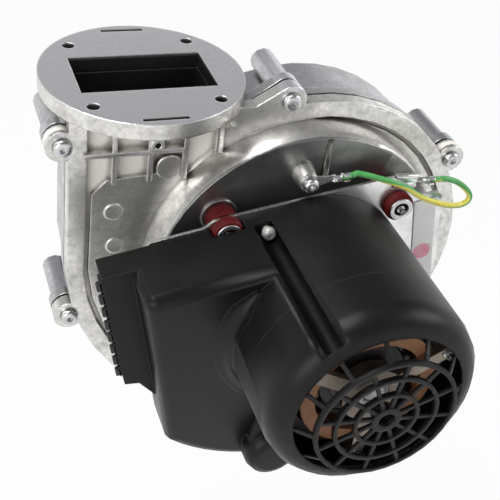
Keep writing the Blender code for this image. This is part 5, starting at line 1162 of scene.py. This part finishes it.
ground = make_ground_finish("ground_steel_skin", (0.56, 0.56, 0.57), roughness=0.24)
settle(smooth_copy("outer_races", ["front_bearing_outer_ring", "rear_bearing_outer_ring"]), ground,
       "fan_housing", "ground_steel", "front_bearing_outer_ring", "rear_bearing_outer_ring")
dress("wave_spring", "preload_spring", ground, "fan_housing", "ground_steel")
settle(smooth_copy("inner_races", ["front_bearing_inner_ring", "rear_bearing_inner_ring"]), ground,
       "rotor", "ground_steel", "front_bearing_inner_ring", "rear_bearing_inner_ring")
dress("ground_shaft", "motor_shaft", ground, "rotor", "ground_steel")


# ---------------------------------------------------------------- rotor
# A sheet-stack core with a ferrite ring, and at the shaft's other end the impeller on its
# turned brass hub, held by a nut: nine swept vanes between a back disc and a shroud.

dress("rotor_stack", "rotor_core", sheet_stack, "rotor", "laminated_steel")
ferrite = make_plain_finish("ferrite", (0.045, 0.045, 0.048), (0.065, 0.064, 0.066), roughness=0.5,
                            grain=900.0)
dress("ferrite_ring", "rotor_magnet", ferrite, "rotor", "magnet_ferrite")
vane_plastic = make_plain_finish("impeller_polyamide", (0.030, 0.030, 0.032), (0.044, 0.044, 0.046),
                                 roughness=0.40, grain=1500.0, patch=35.0, radius=0.0004)
dress("vaned_disc", "impeller", vane_plastic, "rotor", "impeller_plastic")
dress("shroud_ring", "impeller_shroud", vane_plastic, "rotor", "impeller_plastic")
brass = make_metal_finish("turned_brass", (0.66, 0.46, 0.19), roughness=0.30, patch=120.0,
                          grain=1200.0)
dress("brass_hub", "impeller_hub", brass, "rotor", "hub_brass")
dress("hub_nut", "impeller_nut", zinc, "rotor", "zinc_plated_steel")


# ---------------------------------------------------------------- rating label
# A label of blank white film, stuck on the plate's free end. It bears one dot, put there
# with a pink marker.

DOT_PLACE = tilted(0.0655, -0.0506, -0.0030)
DOT_EDGE = (0.0058, 0.0050)
DOT_PINK = (0.86, 0.10, 0.26)


def make_label_finish():
    """White film with a faint tooth and a marker dot with an uneven rim."""
    material, tree, shader, place = start_material("label_film", 0.34)
    shift = put(tree, "ShaderNodeVectorMath", {0: place, 1: tuple(DOT_PLACE)}, operation="SUBTRACT")
    far = put(tree, "ShaderNodeVectorMath", {0: shift.outputs[0]}, operation="LENGTH").outputs["Value"]
    skin = use_group(tree, GRAIN, {"Vector": place, "Grain scale": 2200.0, "Patch scale": 260.0})
    ragged = reckon(tree, "MULTIPLY_ADD", skin.outputs["Patches"], 0.0007, far)
    dot = reckon(tree, "MULTIPLY", spread(tree, ragged, *DOT_EDGE),
                 spread(tree, skin.outputs["Patches"], 0, 1, 0.55, 0.80))
    white = between(tree, skin.outputs["Patches"], (0.90, 0.90, 0.89, 1), (0.95, 0.95, 0.94, 1))
    tree.links.new(between(tree, dot, white, (*DOT_PINK, 1)), shader.inputs["Base Color"])
    finish_bump(tree, shader, skin.outputs["Height"], strength=0.08, distance=0.0001)
    return material


dress("film_label", "rating_label", make_label_finish(), "fan_housing", "label_paper")


# ---------------------------------------------------------------- studio
# A plain pale floor well below the hanging fan, a soft sky and three large soft lamps. To
# the camera and in reflections the floor is brighter than the light that it gives.

FLOOR_DROP = 0.12
FLOOR_REACH = 3


def area_lamp(name, place, aim, size, watts, colour):
    """A square soft lamp at a place, facing a point."""
    lamp = bpy.data.lights.new(name, "AREA")
    lamp.size = size
    lamp.energy = watts
    lamp.color = colour
    item = bpy.data.objects.new(name, lamp)
    item.location = place
    item.rotation_euler = (Vector(aim) - Vector(place)).to_track_quat("-Z", "Y").to_euler()
    bpy.context.scene.collection.objects.link(item)


def looked_at(tree):
    """1 where the camera, a reflection or a clear piece looks, and 0 for what only gives light."""
    paths = tree.nodes.new("ShaderNodeLightPath").outputs
    return reckon(tree, "MAXIMUM", reckon(tree, "MAXIMUM", paths["Is Camera Ray"],
                                          paths["Is Glossy Ray"]), paths["Is Transmission Ray"])


area_lamp("key_lamp", (-0.35, 0.10, 0.85), (0.05, -0.05, -0.08), 0.55, 7.5, (1.0, 0.99, 0.97))
area_lamp("fill_lamp", (-0.65, -0.75, 0.25), (0.05, -0.05, -0.10), 0.60, 4.0, (0.98, 0.99, 1.0))
area_lamp("side_lamp", (0.85, -0.25, 0.45), (0.08, -0.05, -0.08), 0.40, 3.0, (1.0, 1.0, 1.0))

world = bpy.data.worlds.new("studio_sky")
bpy.context.scene.world = world
world.use_nodes = True
sky = world.node_tree
sky.nodes.clear()
direction = sky.nodes.new("ShaderNodeTexCoord").outputs["Generated"]
upward = put(sky, "ShaderNodeSeparateXYZ", {0: direction}).outputs[2]
shade = between(sky, spread(sky, upward, -0.2, 0.9), (0.92, 0.92, 0.92, 1), (0.42, 0.42, 0.43, 1))
backdrop = between(sky, spread(sky, upward, 0.12, 0.55), (1.0, 1.0, 1.0, 1), (0.20, 0.20, 0.21, 1))
soft = put(sky, "ShaderNodeBackground", {"Color": shade, "Strength": 0.62})
white = put(sky, "ShaderNodeBackground", {"Color": backdrop, "Strength": 1.0})
mixed = put(sky, "ShaderNodeMixShader", {0: looked_at(sky), 1: soft.outputs[0], 2: white.outputs[0]})
sky.links.new(mixed.outputs[0], sky.nodes.new("ShaderNodeOutputWorld").inputs["Surface"])

floor_mesh = bpy.data.meshes.new("floor")
floor_z = cad_box[0][2] - FLOOR_DROP
floor_mesh.from_pydata([(FLOOR_REACH * x, FLOOR_REACH * y, floor_z)
                        for x, y in ((-1, -1), (1, -1), (1, 1), (-1, 1))], [], [(0, 1, 2, 3)])
floor = bpy.data.objects.new("floor", floor_mesh)
bpy.context.scene.collection.objects.link(floor)
floor_paint, tree, shader, place = start_material("floor_paint", 0.9)
shader.inputs["Base Color"].default_value = (0.80, 0.80, 0.80, 1)
glow = put(tree, "ShaderNodeEmission", {"Color": (1, 1, 1, 1), "Strength": 1.0})
layered = put(tree, "ShaderNodeMixShader", {0: reckon(tree, "MULTIPLY", looked_at(tree), 0.94),
                                            1: shader.outputs[0], 2: glow.outputs[0]})
tree.links.new(layered.outputs[0], tree.nodes["Material Output"].inputs["Surface"])
floor_mesh.materials.append(floor_paint)

bpy.context.scene.view_settings.view_transform = "Standard"
